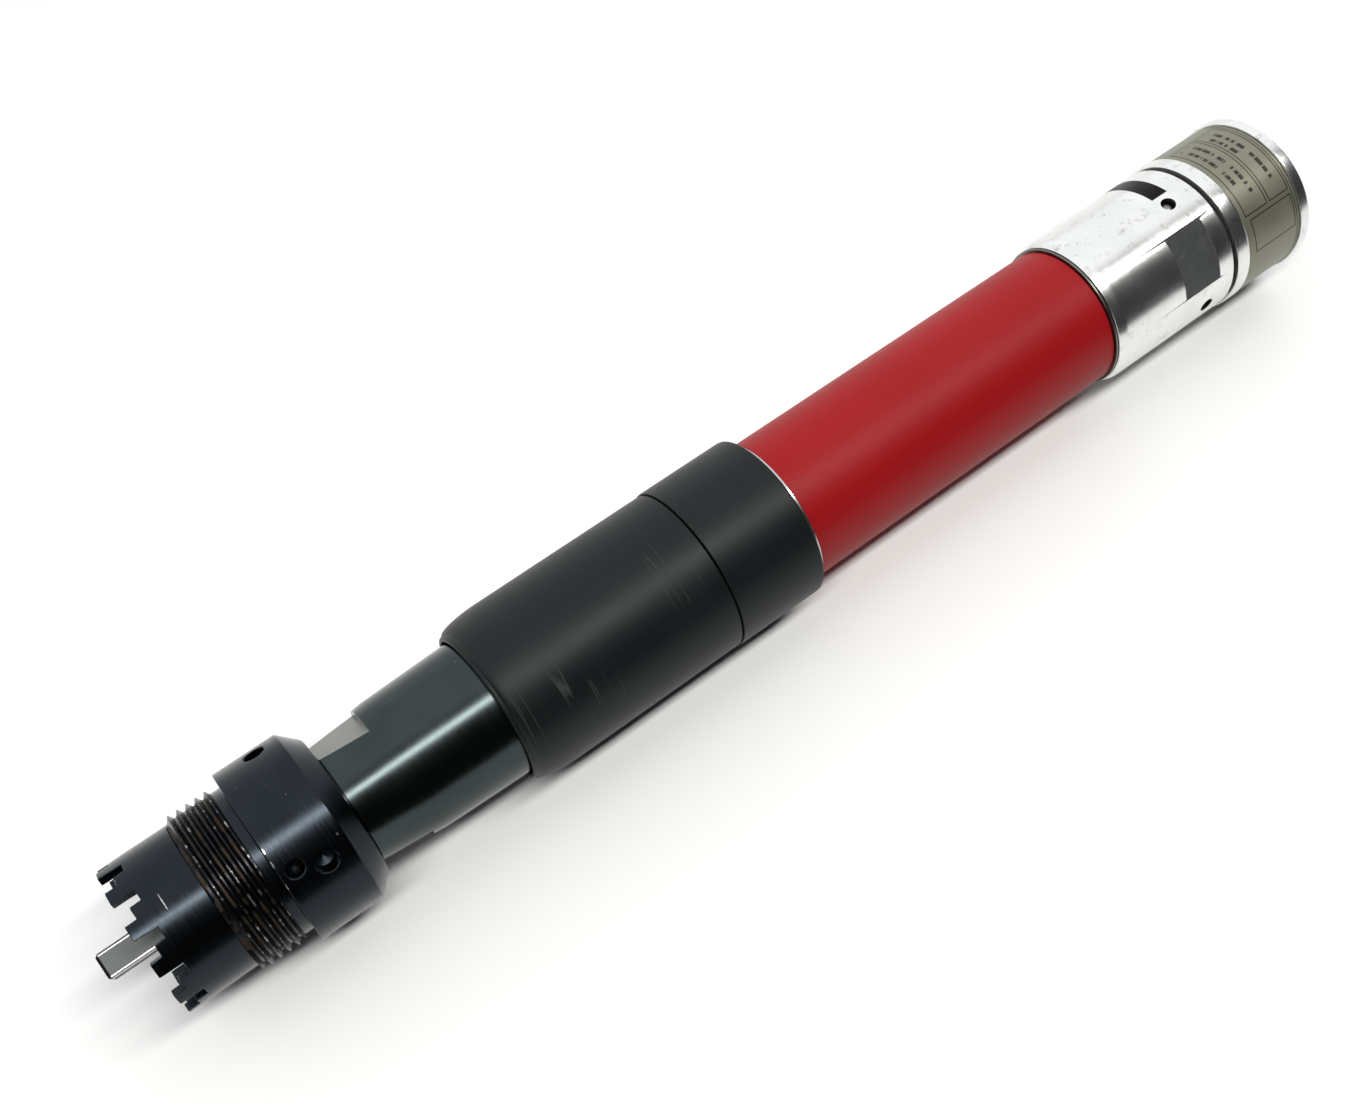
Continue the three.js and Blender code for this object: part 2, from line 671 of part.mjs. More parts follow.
function rotor() {
  const arcSteps = 4;
  const slotAngle = (radius) => Math.asin(VANES.slot / 2 / radius);
  const outline = around(VANES.count, (angle) => {
    const from = radians(angle) + slotAngle(MOTOR.rotor);
    const to = radians(angle + 360 / VANES.count) - slotAngle(MOTOR.rotor);
    const arc = Array.from({ length: arcSteps + 1 }, (_, i) =>
      polar(MOTOR.rotor, THREE.MathUtils.lerp(from, to, i / arcSteps)),
    );
    const slotCentre = radians(angle + 360 / VANES.count);
    return [
      ...arc,
      polar(VANES.bottom, slotCentre - slotAngle(VANES.bottom)),
      polar(VANES.bottom, slotCentre + slotAngle(VANES.bottom)),
    ];
  }).flat();
  const core = extruded(outline, [], MOTOR.start + POCKET_CLEARANCE, MOTOR.end - POCKET_CLEARANCE);
  const shaftEnd = REAR_PLATE.end - POCKET_CLEARANCE;
  const shaft = turned(
    [
      [ROTOR_NOSE.start, 0],
      [ROTOR_NOSE.start, ROTOR_NOSE.radius],
      [ROTOR_NOSE.end, ROTOR_NOSE.radius],
      [ROTOR_NOSE.end, JOURNAL],
      [shaftEnd, JOURNAL],
      [shaftEnd, 0],
    ],
    INNER_SIDES,
  );
  const rodBore = bar(ROTOR_NOSE.start - OVERSHOOT, shaftEnd + OVERSHOOT, PUSH_ROD.bore);
  return cut(joined(core, shaft), rodBore);
}

const motorBearing = (start) =>
  bearing(
    { start, end: start + MOTOR_BEARING.width, radius: MOTOR_BEARING.radius },
    JOURNAL + RUNNING_CLEARANCE,
  );

add("sun_gear", externalGear(SUN_TEETH, SUN.bore, SUN.start, SUN.end), BRIGHT_STEEL);
add("front_end_plate", frontPlate(), GROUND_STEEL);
add("rotor_front_bearing", motorBearing(MOTOR_BEARING.front), BRIGHT_STEEL);
add("cylinder_liner", cylinderLiner(), GROUND_STEEL);
add("rotor", rotor(), GROUND_STEEL);
around(VANES.count, (angle, i) => {
  const depth = MOTOR.rotor - VANES.bottom - 0.5;
  const vane = add(
    "vane_" + (i + 1),
    new THREE.BoxGeometry(MOTOR.end - MOTOR.start - 1, depth, VANES.thickness),
    COMPOSITE,
  );
  const middle = MOTOR.rotor - depth / 2;
  vane.position.set(
    (MOTOR.start + MOTOR.end) / 2,
    middle * Math.cos(radians(angle)),
    middle * Math.sin(radians(angle)),
  );
  vane.rotation.x = radians(angle);
});
add(
  "liner_pin",
  bar(LINER_PIN.start, LINER_PIN.end, LINER_PIN.radius, 8).translate(0, LINER_PIN.circle, 0),
  BRIGHT_STEEL,
);
add("rear_end_plate", rearPlate(), GROUND_STEEL);
add("rotor_rear_bearing", motorBearing(MOTOR_BEARING.rear), BRIGHT_STEEL);

// ---- Covers: sleeve, cover ring, motor tube and the thin rings beside it

function frontSleeve() {
  const { length, boreEnd, rounding, domeStart, domeSteps } = SLEEVE_LIP;
  const rise = SLEEVE.radius - SLEEVE.lip - rounding;
  const run = SLEEVE.dome - SLEEVE.start - domeStart;
  const dome = Array.from({ length: domeSteps + 1 }, (_, i) => {
    const angle = (i / domeSteps) * (Math.PI / 2);
    return [
      SLEEVE.start + domeStart + run * (1 - Math.cos(angle)),
      SLEEVE.lip + rounding + rise * Math.sin(angle),
    ];
  });
  return turned([
    [SLEEVE.start, SLEEVE.lipBore],
    [SLEEVE.start, SLEEVE.lip],
    ...dome,
    [COVER_RING.start - GAP, SLEEVE.radius],
    [COVER_RING.start - GAP, SLEEVE.bore],
    [SLEEVE.start + boreEnd, SLEEVE.bore],
    [SLEEVE.start + length, SLEEVE.lipBore],
  ]);
}

add("front_sleeve", frontSleeve(), BLACK_PLASTIC);
add(
  "cover_ring",
  turned([
    [COVER_RING.start, COVER_RING.bore],
    [COVER_RING.start, CONTACT_RADIUS],
    [COVER_RING.end - 1, CONTACT_RADIUS],
    [COVER_RING.end - 0.3, CONTACT_RADIUS - 0.3],
    [COVER_RING.end, CONTACT_RADIUS - 1],
    [COVER_RING.end, COVER_RING.bore],
  ]),
  BLACK_PLASTIC,
);
add(
  "front_edge_ring",
  tube(FRONT_EDGE.start, FRONT_EDGE.end, FRONT_EDGE.radius, FRONT_EDGE.bore),
  BRIGHT_STEEL,
);
add("motor_tube", tube(TUBE.start, TUBE.end, TUBE.radius, TUBE.bore), RED_COAT);
add(
  "rear_edge_ring",
  tube(REAR_EDGE.start, REAR_EDGE.end, REAR_EDGE.radius, TUBE.bore),
  BLACK_STEEL,
);

// ---- Rear head with wrench flats, and the shut-off valve inside it

const axialHoles = (start, end, { count, radius, circle, turn = 0 }) =>
  around(count, (angle) =>
    bar(start, end, radius, 6)
      .translate(0, circle, 0)
      .rotateX(radians(turn + angle)),
  );

function rearHead() {
  const rodBore = PUSH_ROD.radius + PUSH_ROD.clearance;
  const seatBore = VALVE_SEAT.radius + POCKET_CLEARANCE;
  const chamberFloor = VALVE_SEAT.end + GAP;
  const springFloor = VALVE_SPRING.start - GAP;
  const body = turned([
    [HEAD.front, rodBore],
    [HEAD.front, TUBE.bore - POCKET_CLEARANCE],
    [HEAD.start, TUBE.bore - POCKET_CLEARANCE],
    [HEAD.start, HEAD.radius - 0.8],
    [HEAD.chamfer, HEAD.radius],
    [HEAD.end, HEAD.radius],
    [HEAD.end, HEAD.bore],
    [INLET.front - GAP, HEAD.bore],
    [INLET.front - GAP, CHAMBER.radius],
    [chamberFloor, CHAMBER.radius],
    [chamberFloor, seatBore],
    [springFloor, seatBore],
    [springFloor, rodBore],
  ]);
  const flats = [0, 180].map((angle) =>
    facingBlock(
      HEAD_FLAT.start,
      HEAD_FLAT.end,
      2 * CONTACT_RADIUS,
      HEAD_FLAT.distance,
      INDEX_TURN + angle,
    ),
  );
  const pinHoles = around(HEAD_PIN.count, (angle) =>
    spoke(
      HEAD_PIN.station,
      HEAD_PIN.turn + angle,
      HEAD.bore - OVERSHOOT,
      HEAD.radius + OVERSHOOT,
      HEAD_PIN.radius,
    ),
  );
  const holeStart = HEAD.front - OVERSHOOT;
  const airHoles = axialHoles(holeStart, springFloor + OVERSHOOT, HEAD_AIR_HOLES);
  const exhaustHoles = axialHoles(holeStart, INLET.front, EXHAUST);
  return cut(body, ...flats, ...pinHoles, ...airHoles, ...exhaustHoles);
}

add("rear_head", rearHead(), ALUMINIUM);
around(HEAD_PIN.count, (angle, i) =>
  add(
    "head_pin_" + (i + 1),
    spoke(
      HEAD_PIN.station,
      HEAD_PIN.turn + angle,
      HEAD.bore + RUNNING_CLEARANCE,
      HEAD_PIN.top,
      HEAD_PIN.radius - RUNNING_CLEARANCE,
      8,
    ),
    BRIGHT_STEEL,
  ),
);
add(
  "valve_seat",
  tube(VALVE_SEAT.start, VALVE_SEAT.end, VALVE_SEAT.radius, VALVE_SEAT.bore, INNER_SIDES),
  BRONZE,
);
add(
  "shutoff_valve",
  turned(
    [
      [VALVE.disc, 0],
      [VALVE.disc, VALVE.radius - VALVE.bevel],
      [VALVE.disc + VALVE.bevel, VALVE.radius],
      [VALVE.discEnd, VALVE.radius],
      [VALVE.discEnd, VALVE.stem],
      [VALVE.stemEnd, VALVE.stem],
      [VALVE.stemEnd, 0],
    ],
    INNER_SIDES,
  ),
  BRONZE,
);
add("valve_spring", coilSpring(VALVE_SPRING), SPRING_STEEL);
add("push_rod", bar(PUSH_ROD.start, VALVE.disc - GAP, PUSH_ROD.radius, 8), BRIGHT_STEEL);

// ---- End cap with its inlet bushing, the name band, strainer and exhaust silencer

function endCap() {
  const recess = NAME_BAND.radius - NAME_BAND.thickness - 0.1;
  const body = turned([
    [INLET.front, CHAMBER.rodHole],
    [INLET.front, INLET.spigot],
    [STEP_RING.start, INLET.spigot],
    [STEP_RING.start, STEP_RING.radius],
    [STEP_RING.end, STEP_RING.radius],
    [STEP_RING.end, recess],
    [NAME_BAND.end, recess],
    [NAME_BAND.end, CONTACT_RADIUS],
    [LENGTH, CONTACT_RADIUS],
    [LENGTH, SILENCER.outer + POCKET_CLEARANCE],
    [SILENCER.start - GAP, SILENCER.outer + POCKET_CLEARANCE],
    [SILENCER.start - GAP, CHAMBER.radius],
    [CHAMBER.web, CHAMBER.radius],
    [CHAMBER.web, CHAMBER.rodHole],
  ]);
  const holeStart = INLET.front - OVERSHOOT;
  const webHoles = axialHoles(holeStart, CHAMBER.web + OVERSHOOT, WEB_HOLES);
  const exhaustHoles = axialHoles(holeStart, SILENCER.start, EXHAUST);
  return cut(body, ...webHoles, ...exhaustHoles);
}

function strainer() {
  const { tip, shoulder, end, radius, wall, nose } = STRAINER;
  const middle = (tip + shoulder) / 2;
  return turned(
    [
      [tip, 0],
      [middle, nose],
      [shoulder, radius - wall],
      [end, radius],
      [end, radius - wall],
      [shoulder + wall, radius - 2 * wall],
      [middle + wall, nose - wall],
      [tip + wall, 0],
    ],
    INNER_SIDES,
  );
}

add("groove_o_ring", oRing(GROOVE_O_RING), BLACK_RUBBER);
add("end_cap", endCap(), ALUMINIUM);
add("inlet_bushing", tube(INLET.start, LENGTH, INLET.bushing, INLET.radius), ALUMINIUM);
add(
  "name_band",
  tube(
    STEP_RING.end + RUNNING_CLEARANCE,
    NAME_BAND.end - RUNNING_CLEARANCE,
    NAME_BAND.radius,
    NAME_BAND.radius - NAME_BAND.thickness,
  ),
  OLIVE_BAND,
);
add("inlet_strainer", strainer(), BRONZE);
add(
  "exhaust_silencer",
  tube(SILENCER.start, SILENCER.end, SILENCER.outer, SILENCER.inner),
  FELT,
);

export default tool;
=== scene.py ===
"""Looks of an in-line pneumatic screwdriving spindle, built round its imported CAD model."""

import json
import math

import bmesh
import bpy
from mathutils import Matrix, Vector, noise


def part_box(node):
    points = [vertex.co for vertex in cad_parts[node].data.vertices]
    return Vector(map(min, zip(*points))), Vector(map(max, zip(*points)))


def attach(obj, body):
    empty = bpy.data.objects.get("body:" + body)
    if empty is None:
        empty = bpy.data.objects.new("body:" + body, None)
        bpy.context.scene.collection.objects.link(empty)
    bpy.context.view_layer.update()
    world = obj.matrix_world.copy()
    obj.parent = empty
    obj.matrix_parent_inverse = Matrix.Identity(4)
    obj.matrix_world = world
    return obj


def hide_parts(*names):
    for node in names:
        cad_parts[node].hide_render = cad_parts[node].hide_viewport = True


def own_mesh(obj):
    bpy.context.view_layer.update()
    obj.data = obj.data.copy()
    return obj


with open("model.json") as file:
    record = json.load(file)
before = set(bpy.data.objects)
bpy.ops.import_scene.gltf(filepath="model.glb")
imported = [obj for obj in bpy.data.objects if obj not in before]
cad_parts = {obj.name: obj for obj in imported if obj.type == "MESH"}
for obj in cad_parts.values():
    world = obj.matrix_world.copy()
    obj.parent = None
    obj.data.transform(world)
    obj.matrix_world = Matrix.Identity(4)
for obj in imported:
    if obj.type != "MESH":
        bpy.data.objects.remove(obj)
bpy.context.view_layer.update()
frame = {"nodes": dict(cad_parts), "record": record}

# ------------------------------------------------------------------------------------------
# Measures. The script works in millimetres along the tool's axis; point() turns them to metres.

MM = 0.001
AXIS_Z = (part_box("cover_ring")[0].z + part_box("cover_ring")[1].z) / 2
INDEX_TURN = 133.8  # angle from +Y towards +Z that crown, collar holes and head flats share
SEGMENTS = 192


def span(node):
    """Start and end along the axis and outer radius of a turned CAD node, in millimetres."""
    low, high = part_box(node)
    return low.x / MM, high.x / MM, (high.y - low.y) / 2 / MM


FRONT = span("output_spindle")[0]
SQUARE_END = 20  # station where the square runs into the round shank


def at(station):
    """Place along the axis of a station, a distance in millimetres from the tip of the square."""
    return FRONT + station


def point(x, radius, angle):
    """Point at a place along the axis, a radius and an angle in degrees from +Y towards +Z."""
    turn = math.radians(angle)
    across = Vector((0, math.cos(turn), math.sin(turn))) * radius * MM
    return Vector((x * MM, 0, AXIS_Z)) + across


# ------------------------------------------------------------------------------------------
# Meshes


def mesh_object(name, bm, sharp=32):
    """Object from a bmesh, smooth but for edges sharper than an angle in degrees."""
    bmesh.ops.remove_doubles(bm, verts=bm.verts, dist=1e-7)
    bmesh.ops.recalc_face_normals(bm, faces=bm.faces)
    mesh = bpy.data.meshes.new(name)
    bm.to_mesh(mesh)
    bm.free()
    piece = bpy.data.objects.new(name, mesh)
    bpy.context.scene.collection.objects.link(piece)
    sharpen(mesh, sharp)
    return piece


def sharpen(mesh, degrees):
    """Smooth shading that breaks at edges sharper than an angle."""
    mesh.shade_smooth()
    mesh.set_sharp_from_angle(angle=math.radians(degrees))


def softened(corners, closed=True):
    """Profile points from corners (x, radius, rounding); a rounding of 0 keeps a corner sharp."""
    steps = 3
    points = []
    count = len(corners)
    for i, (x, radius, rounding) in enumerate(corners):
        here = Vector((x, radius))
        at_end = not closed and i in (0, count - 1)
        if rounding <= 0 or at_end:
            points.append(here)
            continue
        before = Vector(corners[i - 1][:2]) - here
        after = Vector(corners[(i + 1) % count][:2]) - here
        start = here + before.normalized() * min(rounding, before.length / 2)
        end = here + after.normalized() * min(rounding, after.length / 2)
        for k in range(steps + 1):
            t = k / steps
            points.append((1 - t) ** 2 * start + 2 * t * (1 - t) * here + t**2 * end)
    return [(p.x, p.y) for p in points]


def lathe(bm, profile, closed, segments):
    """Adds a solid of revolution; profile is a list of (x, radius) in millimetres."""
    turns = [j * 360 / segments for j in range(segments)]
    rows = []
    for x, radius in profile:
        if radius < 1e-6:
            rows.append([bm.verts.new(point(x, 0, 0))] * len(turns))
        else:
            rows.append([bm.verts.new(point(x, radius, turn)) for turn in turns])
    following = rows[1:] + rows[:1] if closed else rows[1:]
    for row, other in zip(rows, following):
        for j in range(len(turns)):
            k = (j + 1) % len(turns)
            corners = [row[j], row[k], other[k], other[j]]
            distinct = list(dict.fromkeys(corners))
            if len(distinct) > 2:
                bm.faces.new(distinct)


def turned(name, corners, closed=True, segments=SEGMENTS):
    """Solid of revolution from corners (x, radius, rounding) in millimetres."""
    bm = bmesh.new()
    lathe(bm, softened(corners, closed), closed, segments)
    return mesh_object(name, bm)


def plain_ring(name, node, rounding, bore, rear_rounding=None):
    """Ring as long and as wide as a CAD node, with rounded edges."""
    start, end, radius = span(node)
    rear = rounding if rear_rounding is None else rear_rounding
    return turned(name, [
        (start, bore, rounding / 2), (start, radius, rounding),
        (end, radius, rear), (end, bore, rounding / 2)])


def spoke(bm, x, angle, profile, segments=40):
    """Adds a round bar that stands out from the axis; profile is a list of (height, radius)."""
    out = outwards(angle)
    side = Vector((1, 0, 0))
    other = out.cross(side)
    foot = Vector((x * MM, 0, AXIS_Z))
    rows = []
    for height, radius in profile:
        ring = []
        for j in range(segments):
            turn = 2 * math.pi * j / segments
            offset = side * math.cos(turn) + other * math.sin(turn)
            ring.append(bm.verts.new(foot + (out * height + offset * radius) * MM))
        rows.append(ring)
    for row, above in zip(rows, rows[1:]):
        for j in range(segments):
            k = (j + 1) % segments
            bm.faces.new([row[j], row[k], above[k], above[j]])
    bm.faces.new(rows[0][::-1])
    bm.faces.new(rows[-1])


def block(bm, x0, x1, low, high, width, angle):
    """Adds a block between two stations, from one distance from the axis to another."""
    corners = [
        Vector((x, side * width / 2, height))
        for x in (x0, x1)
        for side in (-1, 1)
        for height in (low, high)
    ]
    turn = Matrix.Rotation(math.radians(angle - 90), 4, "X")
    verts = [bm.verts.new(turn @ (c * MM) + Vector((0, 0, AXIS_Z))) for c in corners]
    bmesh.ops.convex_hull(bm, input=verts)


def cut(piece, make_tools):
    """Cuts the shapes that make_tools adds to a bmesh out of a piece."""
    bm = bmesh.new()
    make_tools(bm)
    tools = mesh_object("cutter", bm)
    modifier = piece.modifiers.new("cut", "BOOLEAN")
    modifier.operation = "DIFFERENCE"
    modifier.solver = "EXACT"
    modifier.use_self = True
    modifier.object = tools
    apply_modifiers(piece)
    bpy.data.objects.remove(tools)


def apply_modifiers(piece):
    """Bakes a piece's modifiers into its mesh."""
    graph = bpy.context.evaluated_depsgraph_get()
    mesh = bpy.data.meshes.new_from_object(piece.evaluated_get(graph))
    piece.modifiers.clear()
    piece.data = mesh


def soften_edges(piece, width, angle):
    """Bevels the edges sharper than an angle and shades the result smooth between them."""
    modifier = piece.modifiers.new("edges", "BEVEL")
    modifier.width = width * MM
    modifier.segments = 2
    modifier.limit_method = "ANGLE"
    modifier.angle_limit = math.radians(angle)
    modifier.harden_normals = False
    apply_modifiers(piece)
    sharpen(piece.data, 50)


def fuse(name, *pieces):
    """One object that holds the meshes of several, each with its own material."""
    bm = bmesh.new()
    materials = []
    for piece in pieces:
        first = len(bm.faces)
        bm.from_mesh(piece.data)
        bm.faces.ensure_lookup_table()
        own = list(piece.data.materials)
        materials += [m for m in own if m not in materials]
        for face in bm.faces[first:]:
            face.material_index = materials.index(own[face.material_index])
        bpy.data.objects.remove(piece)
    whole = bpy.data.meshes.new(name)
    bm.to_mesh(whole)
    bm.free()
    for material in materials:
        whole.materials.append(material)
    made = bpy.data.objects.new(name, whole)
    bpy.context.scene.collection.objects.link(made)
    return made


def finish_piece(piece, body, slot, material, *nodes):
    """Gives a piece its material, even shading and its place in the frame."""
    if not piece.data.materials:
        piece.data.materials.append(material)
    normals = piece.modifiers.new("normals", "WEIGHTED_NORMAL")
    normals.keep_sharp = True
    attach(piece, body)
    if nodes:
        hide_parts(*nodes)


def outwards(angle):
    """Unit vector that points away from the axis at an angle."""
    return (point(0, 1, angle) - point(0, 0, 0)).normalized()


def on_flats(turn, start, end):
    """Test for faces on a pair of milled flats, one at an angle and one opposite."""
    ways = [outwards(turn), outwards(turn + 180)]

    def chosen(centre, normal):
        """Whether a face lies flat on either of them."""
        facing = max(normal.dot(way) for way in ways)
        return facing > 0.999 and start * MM < centre.x < end * MM

    return chosen


def paint_faces(piece, material, chosen):
    """Gives the faces that chosen(centre, normal) picks a second material."""
    piece.data.materials.append(material)
    index = len(piece.data.materials) - 1
    for face in piece.data.polygons:
        if chosen(face.center, face.normal):
            face.material_index = index


# ------------------------------------------------------------------------------------------
# Material building blocks. Every pattern is laid out in the piece's own coordinates.


class Nodes:
    """Short names for the shader nodes of one material."""

    def __init__(self, name, **sockets):
        self.material = bpy.data.materials.new(name)
        self.material.use_nodes = True
        self.tree = self.material.node_tree
        self.shader = self.tree.nodes["Principled BSDF"]
        for socket, value in sockets.items():
            self.shader.inputs[socket.replace("_", " ")].default_value = value
        self.place = self.tree.nodes.new("ShaderNodeTexCoord").outputs["Object"]

    def link(self, source, target):
        """Joins an output to an input."""
        self.tree.links.new(source, target)

    def math(self, operation, *values, clamp=False):
        """Result of one sum on sockets or numbers."""
        node = self.tree.nodes.new("ShaderNodeMath")
        node.operation = operation
        node.use_clamp = clamp
        for socket, value in zip(node.inputs, values):
            if isinstance(value, (int, float)):
                socket.default_value = value
            else:
                self.link(value, socket)
        return node.outputs[0]

    def stretched(self, scale, turn=(0, 0, 0)):
        """The piece's coordinates, turned and scaled."""
        node = self.tree.nodes.new("ShaderNodeMapping")
        node.inputs["Scale"].default_value = scale
        node.inputs["Rotation"].default_value = turn
        self.link(self.place, node.inputs["Vector"])
        return node.outputs[0]

    def noise(self, scale, detail=3, stretch=(1, 1, 1), roughness=0.5, turn=(0, 0, 0)):
        """Cloudy pattern between 0 and 1."""
        node = self.tree.nodes.new("ShaderNodeTexNoise")
        node.inputs["Scale"].default_value = scale
        node.inputs["Detail"].default_value = detail
        node.inputs["Roughness"].default_value = roughness
        self.link(self.stretched(stretch, turn), node.inputs["Vector"])
        return node.outputs["Fac"]

    def window(self, value, low, high):
        """0 below low, 1 above high, straight between."""
        node = self.tree.nodes.new("ShaderNodeMapRange")
        node.inputs["From Min"].default_value = low
        node.inputs["From Max"].default_value = high
        self.link(value, node.inputs["Value"])
        return node.outputs["Result"]

    def blend(self, share, first, second):
        """Colour that runs from first to second as share runs from 0 to 1."""
        node = self.tree.nodes.new("ShaderNodeMix")
        node.data_type = "RGBA"
        self.link(share, node.inputs["Factor"])
        for socket, value in (("A", first), ("B", second)):
            target = [s for s in node.inputs if s.name == socket and s.type == "RGBA"][0]
            if isinstance(value, tuple):
                target.default_value = (*value, 1)
            else:
                self.link(value, target)
        return [s for s in node.outputs if s.type == "RGBA"][0]

    def between(self, share, first, second):
        """Number that runs from first to second as share runs from 0 to 1."""
        return self.math("ADD", self.math("MULTIPLY", share, second - first), first)

    def axes(self):
        """The three coordinates of a place on the piece, in metres."""
        node = self.tree.nodes.new("ShaderNodeSeparateXYZ")
        self.link(self.place, node.inputs[0])
        return node.outputs

    def off_axis(self):
        """How far a place lies from the tool's axis along Y, and how far above it."""
        _, y, z = self.axes()
        return y, self.math("SUBTRACT", z, AXIS_Z)

    def angle(self, centre):
        """Angle round the tool's axis in degrees, measured from centre, between -180 and 180."""
        y, height = self.off_axis()
        cosine, sine = math.cos(math.radians(centre)), math.sin(math.radians(centre))
        along = self.math(
            "ADD", self.math("MULTIPLY", y, cosine), self.math("MULTIPLY", height, sine))
        across = self.math(
            "SUBTRACT", self.math("MULTIPLY", height, cosine), self.math("MULTIPLY", y, sine))
        return self.math("MULTIPLY", self.math("ARCTAN2", across, along), 180 / math.pi)

    def radius(self):
        """Distance from the tool's axis in millimetres."""
        y, height = self.off_axis()
        square = self.math("ADD", self.math("POWER", y, 2), self.math("POWER", height, 2))
        return self.math("DIVIDE", self.math("SQRT", square), MM)

    def station(self):
        """Distance along the tool in millimetres."""
        return self.math("DIVIDE", self.axes()[0], MM)

    def band(self, value, centre, half, edge):
        """1 within half of centre, falling to 0 over an edge."""
        away = self.math("ABSOLUTE", self.math("SUBTRACT", value, centre))
        return self.window(away, half + edge / 2, half - edge / 2)

    def bump(self, height, distance, strength=1.0):
        """Normal of a surface raised by a pattern."""
        node = self.tree.nodes.new("ShaderNodeBump")
        node.inputs["Distance"].default_value = distance
        node.inputs["Strength"].default_value = strength
        self.link(height, node.inputs["Height"])
        return node.outputs["Normal"]

    def set(self, socket, value):
        """Feeds one input of the material's shader."""
        self.link(value, self.shader.inputs[socket])

    def turning_marks(self, pitch=0.25):
        """Fine rings round the axis, as a lathe leaves."""
        return self.noise(1 / (pitch * MM), 2, (1, 0.004, 0.004), 0.6)

    def scratches(self, scale, turn):
        """Thin straight scratches along one direction."""
        width = 0.012
        field = self.noise(scale, 1.5, (1, 0.03, 0.03), 0.5, turn)
        away = self.math("ABSOLUTE", self.math("SUBTRACT", field, 0.5))
        line = self.window(away, width, 0)
        patches = self.window(self.noise(scale * 0.12, 2), 0.56, 0.62)
        return self.math("MULTIPLY", line, patches, clamp=True)


def black_steel(name, tint, roughness, marks, worn=()):
    """Blued turned steel: rings from the lathe, bright nicks, dull patches and worn spots.

    worn lists (station, half length, angle, half angle) of places rubbed to bare metal."""
    n = Nodes(name, Metallic=1.0)
    rings = n.turning_marks()
    dull = n.noise(90, 4)
    nicks = n.window(n.noise(800, 3, roughness=0.7), 0.725, 0.75)
    base = n.blend(dull, tint, tuple(c * 1.6 for c in tint))
    ragged = n.math("MULTIPLY", n.math("SUBTRACT", n.noise(1400, 3), 0.5), 1.6)
    for station, half, turn, half_turn in worn:
        away_x = n.math("DIVIDE", n.math("SUBTRACT", n.station(), at(station)), half)
        away_turn = n.math("DIVIDE", n.angle(turn), half_turn)
        square = n.math("ADD", n.math("POWER", away_x, 2), n.math("POWER", away_turn, 2))
        away = n.math("ADD", n.math("SQRT", square), ragged)
        nicks = n.math("MAXIMUM", nicks, n.window(away, 1.1, 0.8))
    n.set("Base Color", n.blend(nicks, base, (0.55, 0.55, 0.53)))
    lathe_marks = n.between(rings, roughness - marks, roughness + marks)
    n.set("Roughness", n.math("ADD", lathe_marks, n.between(dull, -0.03, 0.05)))
    n.set("Normal", n.bump(rings, 0.00002, 0.35))
    return n.material


def thread_steel(name, root, crest):
    """Blued thread with bright crests, partly bare wear and partly a painted highlight, and brown
    dirt between them.
    """
    n = Nodes(name, Metallic=0.9)
    height = n.window(n.radius(), root, crest)
    # Bright crests: partly bare wear, partly a painted highlight.
    crest_wear_and_highlight = n.math("MULTIPLY", n.window(height, 0.8, 0.95), n.window(n.noise(420, 3), 0.56, 0.68))
    dirt = n.math("MULTIPLY", n.window(height, 0.5, 0.1), n.window(n.noise(300, 4), 0.45, 0.6))
    steel = n.blend(dirt, (0.014, 0.015, 0.018), (0.045, 0.033, 0.022))
    n.set("Base Color", n.blend(crest_wear_and_highlight, steel, (0.32, 0.32, 0.31)))
    n.set("Roughness", n.math("ADD", n.between(dirt, 0.26, 0.7), n.math("MULTIPLY", crest_wear_and_highlight, 0.05)))
    n.set("Normal", n.bump(n.noise(1500, 3), 0.00003, 0.5))
    return n.material


def brushed_steel(name, colour, roughness, stretch, wear=0.25):
    """Bare steel with a grain drawn out along the axes where stretch is small."""
    n = Nodes(name, Metallic=1.0)
    grain = n.noise(2500, 3, stretch, 0.6)
    stain = n.noise(140, 4)
    darker = tuple(c * (1 - wear) for c in colour)
    n.set("Base Color", n.blend(n.math("MULTIPLY", stain, grain), darker, colour))
    n.set("Roughness", n.between(grain, roughness - 0.08, roughness + 0.14))
    n.set("Normal", n.bump(grain, 0.00001, 0.3))
    return n.material


def black_plastic(name):
    """Satin black moulding, handled: hair scratches and a few pale scuffs."""
    n = Nodes(name, IOR=1.48, Specular_IOR_Level=0.26)
    grain = n.noise(1800, 3)
    cloud = n.noise(55, 4, roughness=0.6)
    fine = n.scratches(260, (0.3, 0.5, 0.4))
    steep = n.scratches(200, (-0.4, 0.2, -0.9))
    marks = n.math("MAXIMUM", fine, steep)
    base = n.blend(cloud, (0.0012, 0.0035, 0.004), (0.003, 0.006, 0.0065))
    n.set("Base Color", n.blend(n.math("MULTIPLY", marks, 0.3), base, (0.09, 0.095, 0.09)))
    n.set("Roughness", n.math("ADD", n.between(cloud, 0.38, 0.5), n.math("MULTIPLY", marks, 0.15)))
    height = n.math("SUBTRACT", n.math("MULTIPLY", grain, 0.35), marks)
    n.set("Normal", n.bump(height, 0.000012, 0.6))
    return n.material


def red_coat(name):
    """Powder coat with a fine orange-peel surface."""
    n = Nodes(name, IOR=1.5, Specular_IOR_Level=0.2)
    peel = n.noise(1500, 2.5, roughness=0.55)
    wide = n.noise(420, 2)
    cloud = n.noise(30, 3)
    n.set("Base Color", n.blend(cloud, (0.24, 0.0013, 0.003), (0.3, 0.002, 0.005)))
    n.set("Roughness", n.between(peel, 0.4, 0.56))
    height = n.math("ADD", peel, n.math("MULTIPLY", wide, 0.8))
    n.set("Normal", n.bump(height, 0.00006, 0.55))
    return n.material


